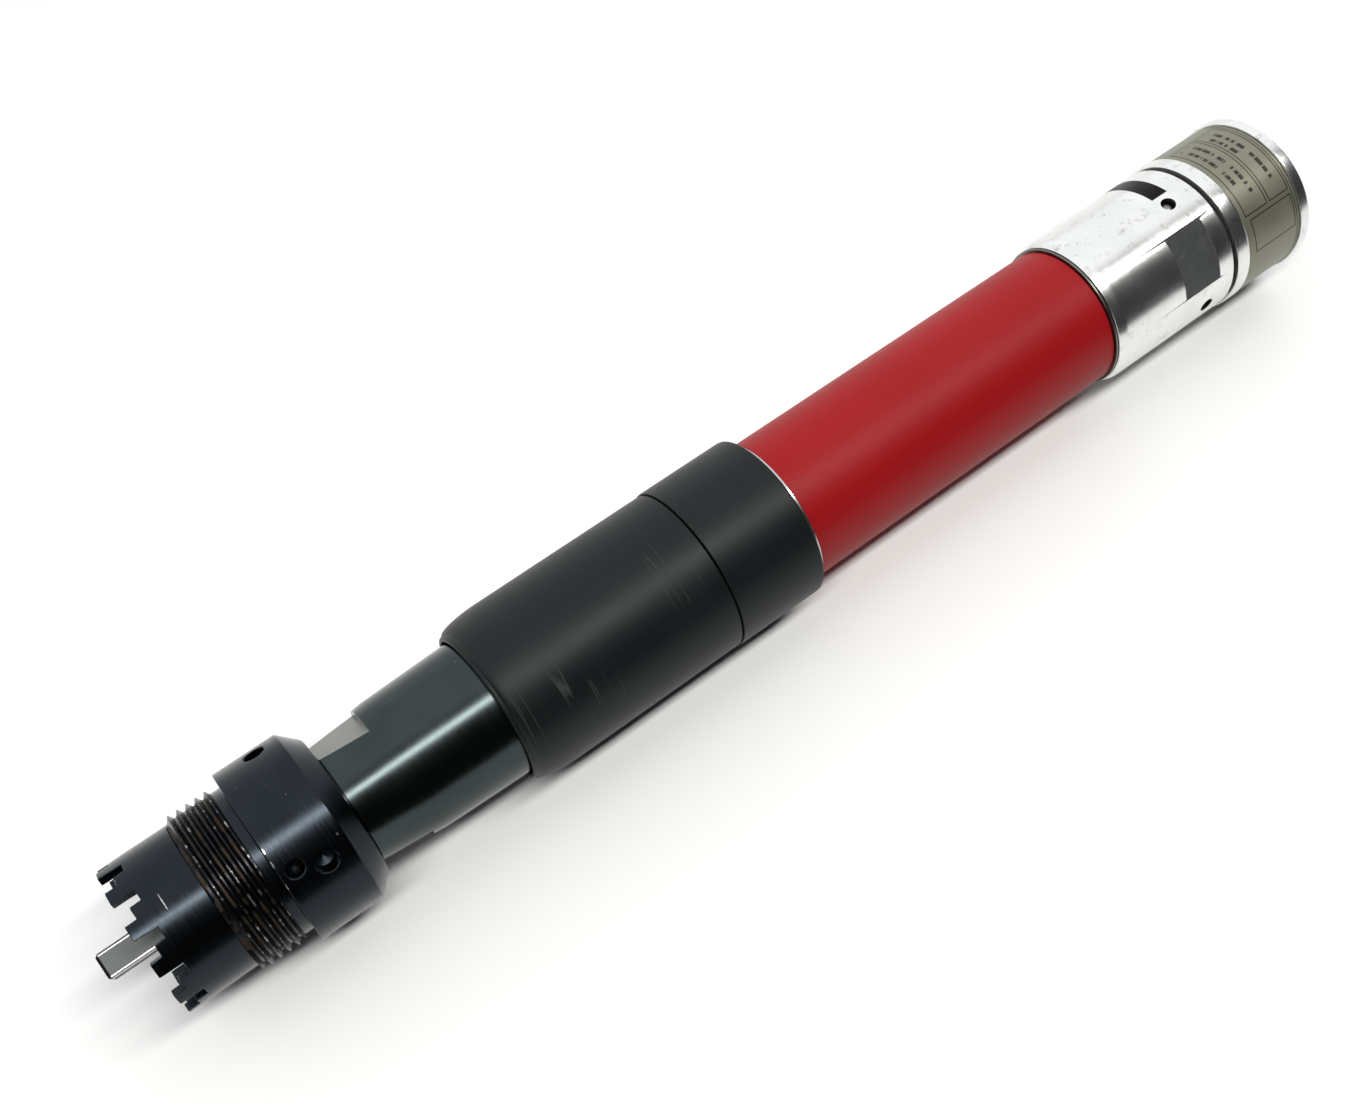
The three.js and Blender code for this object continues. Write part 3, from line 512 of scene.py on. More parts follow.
def turned_aluminium(name, strip=None):
    """Satin turned aluminium, with a black bar on it if strip is given.

    strip is (station, half width, angle, half angle)."""
    n = Nodes(name, Metallic=1.0)
    rings = n.turning_marks(0.18)
    cloud = n.noise(110, 4)
    dents = n.window(n.noise(850, 2, roughness=0.6), 0.7, 0.76)
    grime = n.window(n.noise(260, 5, roughness=0.7), 0.56, 0.75)
    base = n.blend(cloud, (0.7, 0.71, 0.7), (0.9, 0.9, 0.88))
    dirty = n.blend(n.math("MULTIPLY", grime, 0.6), base, (0.2, 0.19, 0.17))
    shade = n.blend(dents, dirty, (0.3, 0.31, 0.32))
    roughness = n.math("ADD", n.between(rings, 0.14, 0.26), n.between(cloud, -0.02, 0.07))
    if strip:
        station, half, turn, half_turn = strip
        inside = n.math(
            "MULTIPLY",
            n.band(n.station(), at(station), half, 0.15),
            n.band(n.angle(turn), 0, half_turn, 0.6),
        )
        shade = n.blend(inside, shade, (0.008, 0.008, 0.009))
        roughness = n.math("ADD", roughness, n.math("MULTIPLY", inside, 0.2))
    n.set("Base Color", shade)
    n.set("Roughness", roughness)
    height = n.math("SUBTRACT", n.math("MULTIPLY", rings, 0.3), dents)
    n.set("Normal", n.bump(height, 0.00002, 0.4))
    return n.material


DEGREE_LENGTH = 0.37  # millimetres on the band's surface for one degree round it


def olive_band(name, start, end, panel_turn):
    """Anodised rating band with plain printed frames, dashes in place of lettering.

    Frames and rows are (station, half width, angle, half angle), angles from panel_turn."""
    n = Nodes(name, Metallic=0.6)
    grain = n.noise(2600, 2, (0.06, 1, 1), 0.5)
    cloud = n.noise(150, 4)
    base = n.blend(cloud, (0.17, 0.165, 0.125), (0.24, 0.235, 0.18))
    station = n.station()
    turn = n.angle(panel_turn)
    middle = (start + end) / 2
    frames = ((middle + 4.4, 3.6, 0, 40), (middle - 4, 4.2, 0, 40), (middle + 0.4, 7.6, 56, 13))
    rows = (
        (middle + 4.9, 0.6, -2, 28), (middle + 2.4, 0.6, -14, 14),
        (middle - 2.6, 0.6, -4, 33), (middle - 5.6, 0.6, -9, 26))
    ink = n.band(station, end - 0.9, 0.12, 0.08)
    for x, half, centre, half_turn in frames:
        away_x = n.math("DIVIDE", n.math("ABSOLUTE", n.math("SUBTRACT", station, x)), half)
        away_turn = n.math("ABSOLUTE", n.math("SUBTRACT", turn, centre))
        away_turn = n.math("DIVIDE", away_turn, half_turn)
        aspect = half_turn / half * DEGREE_LENGTH
        inset = n.math("MULTIPLY", n.math("SUBTRACT", 1, away_turn), aspect)
        depth = n.math("MINIMUM", n.math("SUBTRACT", 1, away_x), inset)
        line = n.band(n.math("MULTIPLY", depth, half), 0.2, 0.16, 0.1)
        ink = n.math("MAXIMUM", ink, line)
    dashes = n.window(n.noise(900, 1, (0.05, 1, 1)), 0.44, 0.48)
    for x, half, centre, half_turn in rows:
        inside = n.math(
            "MULTIPLY", n.band(station, x, half, 0.15), n.band(turn, centre, half_turn, 1.5))
        ink = n.math("MAXIMUM", ink, n.math("MULTIPLY", inside, dashes))
    n.set("Base Color", n.blend(n.math("MULTIPLY", ink, 0.92), base, (0.012, 0.012, 0.01)))
    n.set("Roughness", n.math("ADD", n.between(cloud, 0.3, 0.42), n.math("MULTIPLY", grain, 0.1)))
    n.set("Normal", n.bump(grain, 0.00001, 0.3))
    return n.material


def cloudy(name, first, second, roughness, metallic=0.0, grain_scale=900, bump=0.00003):
    """Plain finish with a fine grain: rubber, bronze, laminate, felt."""
    n = Nodes(name, Metallic=metallic)
    grain = n.noise(grain_scale, 4, roughness=0.65)
    n.set("Base Color", n.blend(n.noise(120, 4), first, second))
    n.set("Roughness", n.between(grain, roughness - 0.08, roughness + 0.08))
    n.set("Normal", n.bump(grain, bump, 0.6))
    return n.material


NOSE_WEAR = (
    (18.3, 0.13, 99, 6), (40.15, 0.2, 109, 1.6), (40.1, 0.2, 118, 2),
    (40.1, 0.15, 133, 2), (54.3, 0.25, 124, 0.8))
NOSE_STEEL = black_steel("nose_steel", (0.017, 0.0205, 0.025), 0.23, 0.1, NOSE_WEAR)
THREAD_STEEL = thread_steel("thread_steel", 18.4, 19.6)
HOUSING_STEEL = black_steel("housing_steel", (0.034, 0.042, 0.043), 0.19, 0.04)
RING_STEEL = brushed_steel("ring_steel", (0.32, 0.32, 0.29), 0.3, (1, 0.1, 0.1), 0.6)
WORN_FLAT = brushed_steel("worn_flat", (0.36, 0.37, 0.35), 0.4, (1, 0.15, 0.15), 0.5)
MILLED_FLAT = brushed_steel("milled_flat", (0.3, 0.31, 0.32), 0.42, (0.2, 1, 1), 0.3)
SQUARE_STEEL = brushed_steel("square_steel", (0.17, 0.18, 0.175), 0.5, (1, 1, 1), 0.6)
# Bright steel that paints a highlight on the square's rounded edges on its -Y side.
EDGE_HIGHLIGHT = brushed_steel("painted_edge_highlight", (0.75, 0.75, 0.74), 0.3, (0.1, 1, 1), 0.2)
# Near-black steel that paints shade into the head's pin holes and onto the square's front faces.
SHADE_STEEL = black_steel("painted_shade_steel", (0.01, 0.01, 0.011), 0.5, 0.05)
GROUND_STEEL = brushed_steel("ground_steel", (0.42, 0.44, 0.44), 0.34, (0.1, 1, 1), 0.35)
BRIGHT_STEEL = brushed_steel("bright_steel", (0.66, 0.67, 0.68), 0.2, (1, 0.1, 0.1))
PIN_STEEL = brushed_steel("pin_steel", (0.3, 0.31, 0.32), 0.35, (1, 1, 1))
SLEEVE_PLASTIC = black_plastic("sleeve_plastic")
TUBE_COAT = red_coat("tube_coat")
PLAIN_ALUMINIUM = turned_aluminium("plain_aluminium")
RUBBER = cloudy("rubber", (0.008, 0.008, 0.008), (0.016, 0.016, 0.016), 0.62)
SPRING_STEEL = brushed_steel("spring_wire", (0.2, 0.19, 0.17), 0.35, (1, 1, 1))
BRONZE = cloudy("bronze", (0.36, 0.2, 0.08), (0.5, 0.31, 0.14), 0.32, 1.0)
LAMINATE = cloudy("laminate", (0.05, 0.03, 0.018), (0.1, 0.065, 0.04), 0.6)
FELT = cloudy("felt", (0.05, 0.05, 0.045), (0.14, 0.138, 0.13), 0.9, 0.0, 2600, 0.0003)

# ------------------------------------------------------------------------------------------
# Camera, light and floor

CAMERA_PLACE = Vector((-131.79, -144.99, 366.07)) * MM
CAMERA_PITCH = 61.43  # below the horizon
CAMERA_HEADING = 37.65  # from +Y towards +X

camera_data = bpy.data.cameras.new("camera")
camera_data.lens = 42.94
camera_data.sensor_width = 36
camera = bpy.data.objects.new("camera", camera_data)
camera.location = CAMERA_PLACE
camera.rotation_euler = (math.radians(90 - CAMERA_PITCH), 0, math.radians(-CAMERA_HEADING))
bpy.context.scene.collection.objects.link(camera)
bpy.context.scene.camera = camera
bpy.context.scene.view_settings.view_transform = "Standard"


def softbox(name, place, size, power, tint):
    """Rectangular lamp aimed at the middle of the tool."""
    light = bpy.data.lights.new(name, "AREA")
    light.shape = "RECTANGLE"
    light.size, light.size_y = size
    light.energy = power
    light.color = tint
    box = bpy.data.objects.new(name, light)
    box.location = place
    box.rotation_euler = (-Vector(place)).to_track_quat("-Z", "Y").to_euler()
    bpy.context.scene.collection.objects.link(box)


softbox("overhead", (0.0, -0.37, 1.5), (2.4, 0.19), 28, (1, 1, 0.97))


def studio_world():
    """White wall on the +Y side, a dark room on the other, a pale backdrop where it is seen."""
    world = bpy.data.worlds.new("studio")
    world.use_nodes = True
    tree = world.node_tree
    place = tree.nodes.new("ShaderNodeTexCoord")
    split = tree.nodes.new("ShaderNodeSeparateXYZ")
    tree.links.new(place.outputs["Generated"], split.inputs[0])
    ramp = tree.nodes.new("ShaderNodeMapRange")
    reach = {"From Min": -0.1, "From Max": 0.16, "To Min": 0.03, "To Max": 1.15}
    for socket, value in reach.items():
        ramp.inputs[socket].default_value = value
    ramp.interpolation_type = "SMOOTHSTEP"
    tree.links.new(split.outputs["Y"], ramp.inputs["Value"])
    seen = tree.nodes.new("ShaderNodeLightPath")
    shown = tree.nodes.new("ShaderNodeMath")
    shown.operation = "MAXIMUM"
    tree.links.new(ramp.outputs["Result"], shown.inputs[0])
    tree.links.new(seen.outputs["Is Camera Ray"], shown.inputs[1])
    background = tree.nodes["Background"]
    background.inputs["Color"].default_value = (0.97, 0.985, 1, 1)
    tree.links.new(shown.outputs[0], background.inputs["Strength"])
    bpy.context.scene.world = world


studio_world()


def floor_material():
    """Matt pale paint."""
    n = Nodes("floor_paint", Roughness=0.75)
    n.set("Base Color", n.blend(n.noise(3, 2), (0.77, 0.77, 0.77), (0.79, 0.79, 0.785)))
    return n.material


def make_floor():
    """Square of floor just under the tool."""
    half, gap = 0.9, 0.0001
    bm = bmesh.new()
    corners = [(-half, -half), (half, -half), (half, half), (-half, half)]
    bm.faces.new([bm.verts.new((x, y, -gap)) for x, y in corners])
    floor = mesh_object("floor", bm)
    floor.data.materials.append(floor_material())


make_floor()

# ------------------------------------------------------------------------------------------
# Nose: castellated crown, thread and collar

NOSE_START, NOSE_END, COLLAR_RADIUS = span("nose_piece")
CROWN_RADIUS, CROWN_BORE, CROWN_WEB = 18.1, 16.2, 25
CROWN_TEETH, TOOTH_HALF, SLOT_END = 12, 5.8, 15.0
SLOT_DEPTH, SHELF_DEPTH = 5.4, 2.8
THREAD_START, THREAD_PITCH, THREAD_TURNS = 26.4, 2.25, 5
THREAD_ROOT, THREAD_CREST = 18.35, 19.62
COLLAR_START, COLLAR_CHAMFER = 39.9, 55.5
COLLAR_NECK, COLLAR_REAR = 18.5, 17.4
CORE_RADIUS, SEAL_DEPTH = 16.9, 2.5
SPANNER_STATION, SPANNER_RADIUS = 49.6, 2.5
LOCK_STATION, LOCK_TURN, LOCK_RADIUS = 43.4, 127, 2


def crown_front(angle):
    """How far back from the tips the crown's front stands at an angle."""
    past = (angle - INDEX_TURN + TOOTH_HALF) % (360 / CROWN_TEETH)
    if past < 2 * TOOTH_HALF:
        return 0
    return SLOT_DEPTH if past < TOOTH_HALF + SLOT_END else SHELF_DEPTH


def crown():
    """Ring whose front steps between tooth tips, slots and shelves."""
    columns = []
    pitch = 360 / CROWN_TEETH
    for tooth in range(CROWN_TEETH):
        base = INDEX_TURN + tooth * pitch - TOOTH_HALF
        stops = [0, 2 * TOOTH_HALF, TOOTH_HALF + SLOT_END, pitch]
        for low, high in zip(stops, stops[1:]):
            steps = 5
            columns += [base + low + (high - low) * i / steps for i in range(steps)]
    fronts = [
        NOSE_START + crown_front((a + b) / 2)
        for a, b in zip(columns, columns[1:] + [columns[0] + 360])
    ]
    back = at(THREAD_START - 0.05)
    bm = bmesh.new()
    made = {}

    def corner(column, x, radius):
        """Vertex in a column of the crown, made once."""
        key = (column % len(columns), round(x, 4), radius)
        if key not in made:
            made[key] = bm.verts.new(point(x, radius, columns[column % len(columns)]))
        return made[key]

    for j, front in enumerate(fronts):
        last, following = fronts[j - 1], fronts[(j + 1) % len(fronts)]
        left = sorted({front, back} | ({last} if last > front else set()))
        right = sorted({front, back} | ({following} if following > front else set()))
        for radius in (CROWN_RADIUS, CROWN_BORE):
            side = [corner(j, x, radius) for x in left]
            side += [corner(j + 1, x, radius) for x in reversed(right)]
            bm.faces.new(side if radius == CROWN_RADIUS else side[::-1])
        for x in (front, back):
            ends = [corner(j, x, CROWN_RADIUS), corner(j + 1, x, CROWN_RADIUS)]
            ends += [corner(j + 1, x, CROWN_BORE), corner(j, x, CROWN_BORE)]
            bm.faces.new(ends if x == back else ends[::-1])
        if abs(last - front) > 1e-6:
            step = (
                (last, CROWN_RADIUS), (front, CROWN_RADIUS),
                (front, CROWN_BORE), (last, CROWN_BORE))
            bm.faces.new([corner(j, x, radius) for x, radius in step])
    ring = mesh_object("crown", bm)
    soften_edges(ring, 0.22, 40)
    return ring


def thread():
    """Helical thread: rows follow the helix and fade into plain ends."""
    form = [(0.1, THREAD_ROOT), (0.42, THREAD_CREST), (0.56, THREAD_CREST), (0.9, THREAD_ROOT)]
    columns = 144
    start = at(THREAD_START)
    end = start + THREAD_PITCH * THREAD_TURNS
    bm = bmesh.new()
    rows = []
    for turn in range(-1, THREAD_TURNS + 1):
        for share, radius in form:
            row = []
            for j in range(columns + 1):
                x = start + (turn + share + j / columns) * THREAD_PITCH
                dirt = 0.05 * noise.noise(Vector((x * 0.9, j * 0.35, 3)))
                if x <= start or x >= end:
                    x, reach = (start, CROWN_RADIUS) if x <= start else (end, COLLAR_NECK)
                else:
                    reach = radius + dirt
                row.append(bm.verts.new(point(x, reach, 360 * j / columns)))
            rows.append(row)
    for row, above in zip(rows, rows[1:]):
        for j in range(columns):
            bm.faces.new([row[j], row[j + 1], above[j + 1], above[j]])
    bore = CORE_RADIUS - 0.3
    ring = [
        [bm.verts.new(point(x, bore, 360 * j / columns)) for j in range(columns)]
        for x in (start, end)
    ]
    for j in range(columns):
        k = (j + 1) % columns
        bm.faces.new([ring[1][j], ring[1][k], ring[0][k], ring[0][j]])
        for x, reach, inner in ((start, CROWN_RADIUS, ring[0]), (end, COLLAR_NECK, ring[1])):
            outer = [bm.verts.new(point(x, reach, 360 * i / columns)) for i in (j, k)]
            bm.faces.new([outer[0], outer[1], inner[k], inner[j]])
    bmesh.ops.remove_doubles(bm, verts=bm.verts, dist=1e-6)
    bmesh.ops.dissolve_degenerate(bm, edges=bm.edges, dist=1e-6)
    return mesh_object("thread", bm, 40)


def collar():
    """Flange with pin spanner holes, and the web and bores behind the crown."""
    seal_bore = span("nose_seal")[2] + 0.15
    bearing_bore = span("nose_bearing")[2] + 0.15
    housing_start = span("clutch_housing")[0]
    web = at(CROWN_WEB)
    neck_start = at(THREAD_START + THREAD_PITCH * THREAD_TURNS - 0.2)
    shoulder, rear_bore = housing_start - 0.3, 14.1
    body = turned("collar", [
        (web, seal_bore, 0.3), (web, CORE_RADIUS, 0),
        (neck_start, CORE_RADIUS, 0), (neck_start, COLLAR_NECK, 0.1),
        (at(COLLAR_START), COLLAR_NECK, 0.5), (at(COLLAR_START), COLLAR_RADIUS, 0.35),
        (at(COLLAR_CHAMFER), COLLAR_RADIUS, 0.3),
        (NOSE_END, COLLAR_REAR, 0.3), (NOSE_END, rear_bore, 0.2),
        (shoulder, rear_bore, 0), (shoulder, bearing_bore, 0),
        (web + SEAL_DEPTH, bearing_bore, 0), (web + SEAL_DEPTH, seal_bore, 0),
    ])

    def holes(bm):
        """Four blind pin spanner holes and the lock screw's hole, each countersunk."""
        sunk, lip, flare = COLLAR_RADIUS - 0.35, COLLAR_RADIUS + 0.5, 0.85
        for k in range(4):
            spoke(bm, at(SPANNER_STATION), INDEX_TURN + 90 * k, [
                (COLLAR_RADIUS - 6, 0.1), (COLLAR_RADIUS - 5, SPANNER_RADIUS),
                (sunk, SPANNER_RADIUS), (lip, SPANNER_RADIUS + flare)])
        spoke(bm, at(LOCK_STATION), LOCK_TURN, [
            (12, LOCK_RADIUS), (sunk, LOCK_RADIUS), (lip, LOCK_RADIUS + flare)])

    cut(body, holes)
    sharpen(body.data, 32)
    return body


def nose_piece():
    """Crown, thread and collar as one piece."""
    pieces = [crown(), thread(), collar()]
    for piece, material in zip(pieces, (NOSE_STEEL, THREAD_STEEL, NOSE_STEEL)):
        piece.data.materials.append(material)
    return fuse("nose_piece_fine", *pieces)


finish_piece(nose_piece(), "housing", "black_steel", NOSE_STEEL, "nose_piece")
finish_piece(
    plain_ring("nose_seal_fine", "nose_seal", 0.3, 5.15), "housing", "rubber", RUBBER, "nose_seal")


def lock_screw():
    """Grub screw with a hexagon socket, seen down its hole."""
    bm = bmesh.new()
    spoke(bm, at(LOCK_STATION), LOCK_TURN, [(14.1, 1.5), (14.5, 1.85), (19.2, 1.85), (19.5, 1.5)])
    screw = mesh_object("nose_lock_screw_fine", bm, 25)

    def socket(bm):
        """Hexagon as deep as the key goes."""
        spoke(bm, at(LOCK_STATION), LOCK_TURN, [(17.5, 1), (20, 1)], 6)

    cut(screw, socket)
    sharpen(screw.data, 25)
    return screw


finish_piece(lock_screw(), "housing", "black_steel", NOSE_STEEL, "nose_lock_screw")

# ------------------------------------------------------------------------------------------
# Output spindle with its square drive

SQUARE, SQUARE_TURN = 6.35, 107


def square_drive():
    """Ground square with rounded edges and a bevelled tip, running into the round shank."""
    half, rounding, steps = SQUARE / 2, 0.7, 4
    outline = []
    for quarter in range(4):
        centre = Vector((half - rounding, half - rounding))
        centre.rotate(Matrix.Rotation(math.radians(90 * quarter), 2))
        for k in range(steps + 1):
            turn = math.radians(90 * quarter + 90 * k / steps)
            outline.append(centre + rounding * Vector((math.cos(turn), math.sin(turn))))
    rows = [(0, 0.84), (0.7, 1), (SQUARE_END + 0.6, 1)]
    bm = bmesh.new()
    rings = []
    turn = Matrix.Rotation(math.radians(SQUARE_TURN), 2)
    for x, scale in rows:
        ring = []
        for p in outline:
            q = turn @ (p * scale)
            ring.append(bm.verts.new(Vector((at(x) * MM, q.x * MM, AXIS_Z + q.y * MM))))
        rings.append(ring)
    for ring, behind in zip(rings, rings[1:]):
        for j in range(len(outline)):
            k = (j + 1) % len(outline)
            bm.faces.new([ring[j], ring[k], behind[k], behind[j]])
    bm.faces.new(rings[0][::-1])
    bm.faces.new(rings[-1])
    square = mesh_object("square", bm, 12)
    for material in (SQUARE_STEEL, EDGE_HIGHLIGHT, SHADE_STEEL):
        square.data.materials.append(material)
    across = [outwards(SQUARE_TURN + 90 * k) for k in range(4)]
    for face in square.data.polygons:
        flat = max(face.normal.dot(way) for way in across)
        # Faces turned to the front are painted near-black as shade.
        if face.normal.x < -0.1:
            face.material_index = 2
        # Rounded edges on the -Y side get a painted highlight.
        elif flat < 0.999 and face.normal.y < 0:
            face.material_index = 1
    return square


def shank():
    """Round part of the spindle with the clutch cam, whose face has a pocket for each ball."""
    _, end, cam_radius = span("output_spindle")
    journal, pilot, pocket_radius = 4.9, 3.3, 2.35
    square_end, cam, cam_end = at(SQUARE_END), at(62), at(67)
    body = turned("shank", [
        (square_end, 0, 0), (square_end, journal, 0.5),
        (cam, journal, 0.4), (cam, cam_radius, 0.4), (cam_end, cam_radius, 0.4),
        (cam_end, pilot, 0.3), (end, pilot, 0.5), (end, 0, 0)], closed=False, segments=96)
    body.data.materials.append(GROUND_STEEL)
    ball_low, ball_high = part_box("clutch_ball_1")
    ball = (ball_low + ball_high) / 2

    def pockets(bm):
        """Balls that press the pockets into the cam."""
        for k in range(3):
            spot = Matrix.Rotation(math.radians(120 * k), 4, "X") @ (ball - Vector((0, 0, AXIS_Z)))
            made = bmesh.ops.create_icosphere(bm, subdivisions=3, radius=pocket_radius * MM)
            bmesh.ops.translate(bm, verts=made["verts"], vec=spot + Vector((0, 0, AXIS_Z)))

    cut(body, pockets)
    sharpen(body.data, 32)
    return body


spindle = fuse("output_spindle_fine", square_drive(), shank())
finish_piece(spindle, "spindle", "ground_steel", GROUND_STEEL, "output_spindle")

# ------------------------------------------------------------------------------------------
# Clutch housing

HOUSING_FLAT_TURN, HOUSING_FLAT_DISTANCE = 40, 13.6


def clutch_housing():
    """Tapered steel housing with two spanner flats and a window over the adjusting nut."""
    start, end, radius = span("clutch_housing")
    sleeve_start = span("front_sleeve")[0]
    ring_low, ring_high, _ = span("sleeve_o_ring")
    shoulder, flat_end, bore_start = at(60.1), at(72.3), at(74)
    window_start, window_end, window_depth, window_width = at(134.6), at(149.5), 11.9, 11
    tube_stop = span("motor_tube")[0] - 0.3
    front_bore, bore, spigot, groove = 12.4, 14.6, 17.2, 16.9
    body = turned("clutch_housing_fine", [
        (start, front_bore, 0.3), (start, 13.8, 0.5), (shoulder, 13.8, 0), (shoulder, 15, 0.3),
        (flat_end, 16.6, 0.5), (flat_end + 3, 16.95, 0.8),
        (sleeve_start, 17.6, 0.8), (ring_low - 4, radius, 0.8),
        (ring_low, radius, 0.2), (ring_low, groove, 0),
        (ring_high, groove, 0), (ring_high, radius, 0.2),
        (tube_stop, radius, 0.3), (tube_stop, spigot, 0), (end, spigot, 0.4),
        (end, bore, 0.3), (bore_start, bore, 0), (bore_start, front_bore, 0)])

    def tools(bm):
        """What the mill takes off at the flats and in the window."""
        for turn in (HOUSING_FLAT_TURN, HOUSING_FLAT_TURN + 180):
            block(bm, shoulder - 0.2, flat_end, HOUSING_FLAT_DISTANCE, 24, 40, turn)
        block(bm, window_start, window_end, window_depth, 24, window_width, 90)

    cut(body, tools)
    sharpen(body.data, 25)
    body.data.materials.append(HOUSING_STEEL)
    paint_faces(body, WORN_FLAT, on_flats(HOUSING_FLAT_TURN, shoulder, flat_end))
    return body


finish_piece(clutch_housing(), "housing", "black_steel", HOUSING_STEEL, "clutch_housing")

# ------------------------------------------------------------------------------------------
# Sleeve, cover ring, motor tube and the thin rings beside it


def front_sleeve():
    """Thin sleeve with a domed front end."""
    start, end, radius = span("front_sleeve")
    lip, lip_bore, bore, dome = 19.2, 18.2, 19.3, 11.6
    steps = 14
    foot, edge = 0.9, lip + 0.25
    rise = [
        (start + foot + (dome - foot) * (1 - math.cos(t)), edge + (radius - edge) * math.sin(t), 0)
        for t in (i / steps * math.pi / 2 for i in range(steps + 1))
    ]
    return turned("front_sleeve_fine", [
        (start, lip_bore, 0.15), (start, lip, 0.35), *rise,
        (end, radius, 0.35), (end, bore, 0.15), (start + 6, bore, 0.3), (start + 5, lip_bore, 0.3)])


finish_piece(front_sleeve(), "sleeve", "black_plastic", SLEEVE_PLASTIC, "front_sleeve")
finish_piece(
    plain_ring("cover_ring_fine", "cover_ring", 0.35, 19.25, 1.0),
    "housing", "black_plastic", SLEEVE_PLASTIC, "cover_ring")
finish_piece(
    plain_ring("front_edge_ring_fine", "front_edge_ring", 0.15, 19.2),
    "housing", "bright_steel", BRIGHT_STEEL, "front_edge_ring")
finish_piece(
    plain_ring("motor_tube_fine", "motor_tube", 0.25, 17.4),
    "housing", "red_coat", TUBE_COAT, "motor_tube")
finish_piece(
    plain_ring("rear_edge_ring_fine", "rear_edge_ring", 0.12, 17.4),
    "housing", "black_steel", RING_STEEL, "rear_edge_ring")

# ------------------------------------------------------------------------------------------
# Rear head, its pins, the O-ring in the groove, end cap, inlet and rating band

HEAD_FLAT_DISTANCE = 18.8
PIN_TURN = INDEX_TURN - 45
PIN_STATION = 312.7
PIN_RADIUS, PIN_HOLE_RADIUS = 1.46, 1.6


def rear_head():
    """Aluminium head with two spanner flats, pin holes and a stepped bore for the valve."""
    start, end, radius = span("rear_head")
    front = span("rear_edge_ring")[1] + 0.2
    flat_start, flat_end = at(304), at(316.6)
    spigot, rod_hole, valve_bore, strainer_bore, cap_bore = 17.2, 1.7, 7.8, 11, 16.5
    cap_seat, strainer_seat, valve_seat = end - 24.2, end - 33.4, end - 47.5
    body = turned("rear_head_fine", [
        (start, rod_hole, 0), (start, spigot, 0.4), (front, spigot, 0), (front, radius - 0.8, 0.2),
        (front + 2.3, radius, 0.5), (end, radius, 0.3), (end, cap_bore, 0.2),
        (cap_seat, cap_bore, 0), (cap_seat, strainer_bore, 0),
        (strainer_seat, strainer_bore, 0), (strainer_seat, valve_bore, 0),
        (valve_seat, valve_bore, 0), (valve_seat, rod_hole, 0)])

    def tools(bm):
        """What the flats and the countersunk pin holes take away."""
        for turn in (INDEX_TURN, INDEX_TURN + 180):
            block(bm, flat_start, flat_end, HEAD_FLAT_DISTANCE, 26, 40, turn)
        for k in range(4):
            spoke(bm, at(PIN_STATION), PIN_TURN + 90 * k, [
                (14.5, PIN_HOLE_RADIUS), (radius - 0.45, PIN_HOLE_RADIUS), (radius + 0.6, 2.65)])

    cut(body, tools)
    sharpen(body.data, 25)
    strip = (PIN_STATION + 0.4, 2.7, PIN_TURN - 35.5, 26)
    body.data.materials.append(turned_aluminium("head_aluminium", strip))
    pins = [outwards(PIN_TURN + 90 * k) for k in range(4)]

    def in_pin_hole(centre, normal):
        """Whether a face is part of a pin hole's wall or countersink."""
        away = Vector((0, centre.y, centre.z - AXIS_Z))
        from_hole = Vector((centre.x - at(PIN_STATION) * MM, away.y, away.z))
        beside = min((from_hole - pin * away.length).length for pin in pins)
        return beside < 2.4 * MM and abs(normal.dot(away.normalized())) < 0.9

    paint_faces(body, MILLED_FLAT, on_flats(INDEX_TURN, flat_start, flat_end))
    # Pin hole walls and countersinks are painted near-black as shade.
    paint_faces(body, SHADE_STEEL, in_pin_hole)
    return body


def head_pin(k):
    """Round pin sunk in one of the head's holes."""
    bm = bmesh.new()
    spoke(bm, at(PIN_STATION), PIN_TURN + 90 * k, [
        (16.7, 1.2), (17, PIN_RADIUS), (19.1, PIN_RADIUS), (19.45, 1.1), (19.55, 0.4)])
    return mesh_object("head_pin_%d_fine" % (k + 1), bm, 45)


def o_ring(name, station, radius, section, ovality=1.0):
    """Ring of round section, longer along the axis where it is squeezed."""
    steps = 20
    ring = [
        (station + section * ovality * math.cos(t), radius + section * math.sin(t), 0)
        for t in (i * 2 * math.pi / steps for i in range(steps))
    ]
    return turned(name, ring)


def end_cap():
    """Cup behind the head: exhaust holes in its web, a pocket for the silencer at its rear."""
    start, end, radius = span("end_cap")
    band_start, band_end, band_radius = span("name_band")
    step = at(322.9)
    step_radius, recess, plug = band_radius + 0.2, band_radius - 0.4, 16.2
    silencer_start, _, silencer_radius = span("exhaust_silencer")
    pocket, pocket_radius = silencer_start - 0.3, silencer_radius + 0.2
    chamber, web_end, rod_hole = 10.7, start + 4, 2.8
    seat_start, seat_end = band_start - 0.1, band_end + 0.1
    vent_circle, vent = 13.7, 1.9
    body = turned("end_cap_fine", [
        (start, rod_hole, 0.2), (start, plug, 0.4), (step, plug, 0), (step, step_radius, 0.4),
        (seat_start, step_radius, 0.5), (seat_start, recess, 0), (seat_end, recess, 0),
        (seat_end, radius, 0.4), (end, radius, 0.4), (end, pocket_radius, 0.3),
        (pocket, pocket_radius, 0), (pocket, chamber, 0.2),
        (web_end, chamber, 0), (web_end, rod_hole, 0)])

    def tools(bm):
        """Four exhaust holes along the tool."""
        for k in range(4):
            turn = math.radians(45 + 90 * k)
            across = Vector((0, math.cos(turn), math.sin(turn))) * vent_circle
            made = bmesh.ops.create_cone(
                bm, cap_ends=True, segments=32, radius1=vent * MM, radius2=vent * MM,
                depth=(pocket - start + 2) * MM, matrix=Matrix.Rotation(math.pi / 2, 4, "Y"))
            middle = Vector(((start + pocket) / 2, 0, AXIS_Z / MM)) + across
            bmesh.ops.translate(bm, verts=made["verts"], vec=middle * MM)

    cut(body, tools)
    sharpen(body.data, 32)
    return body


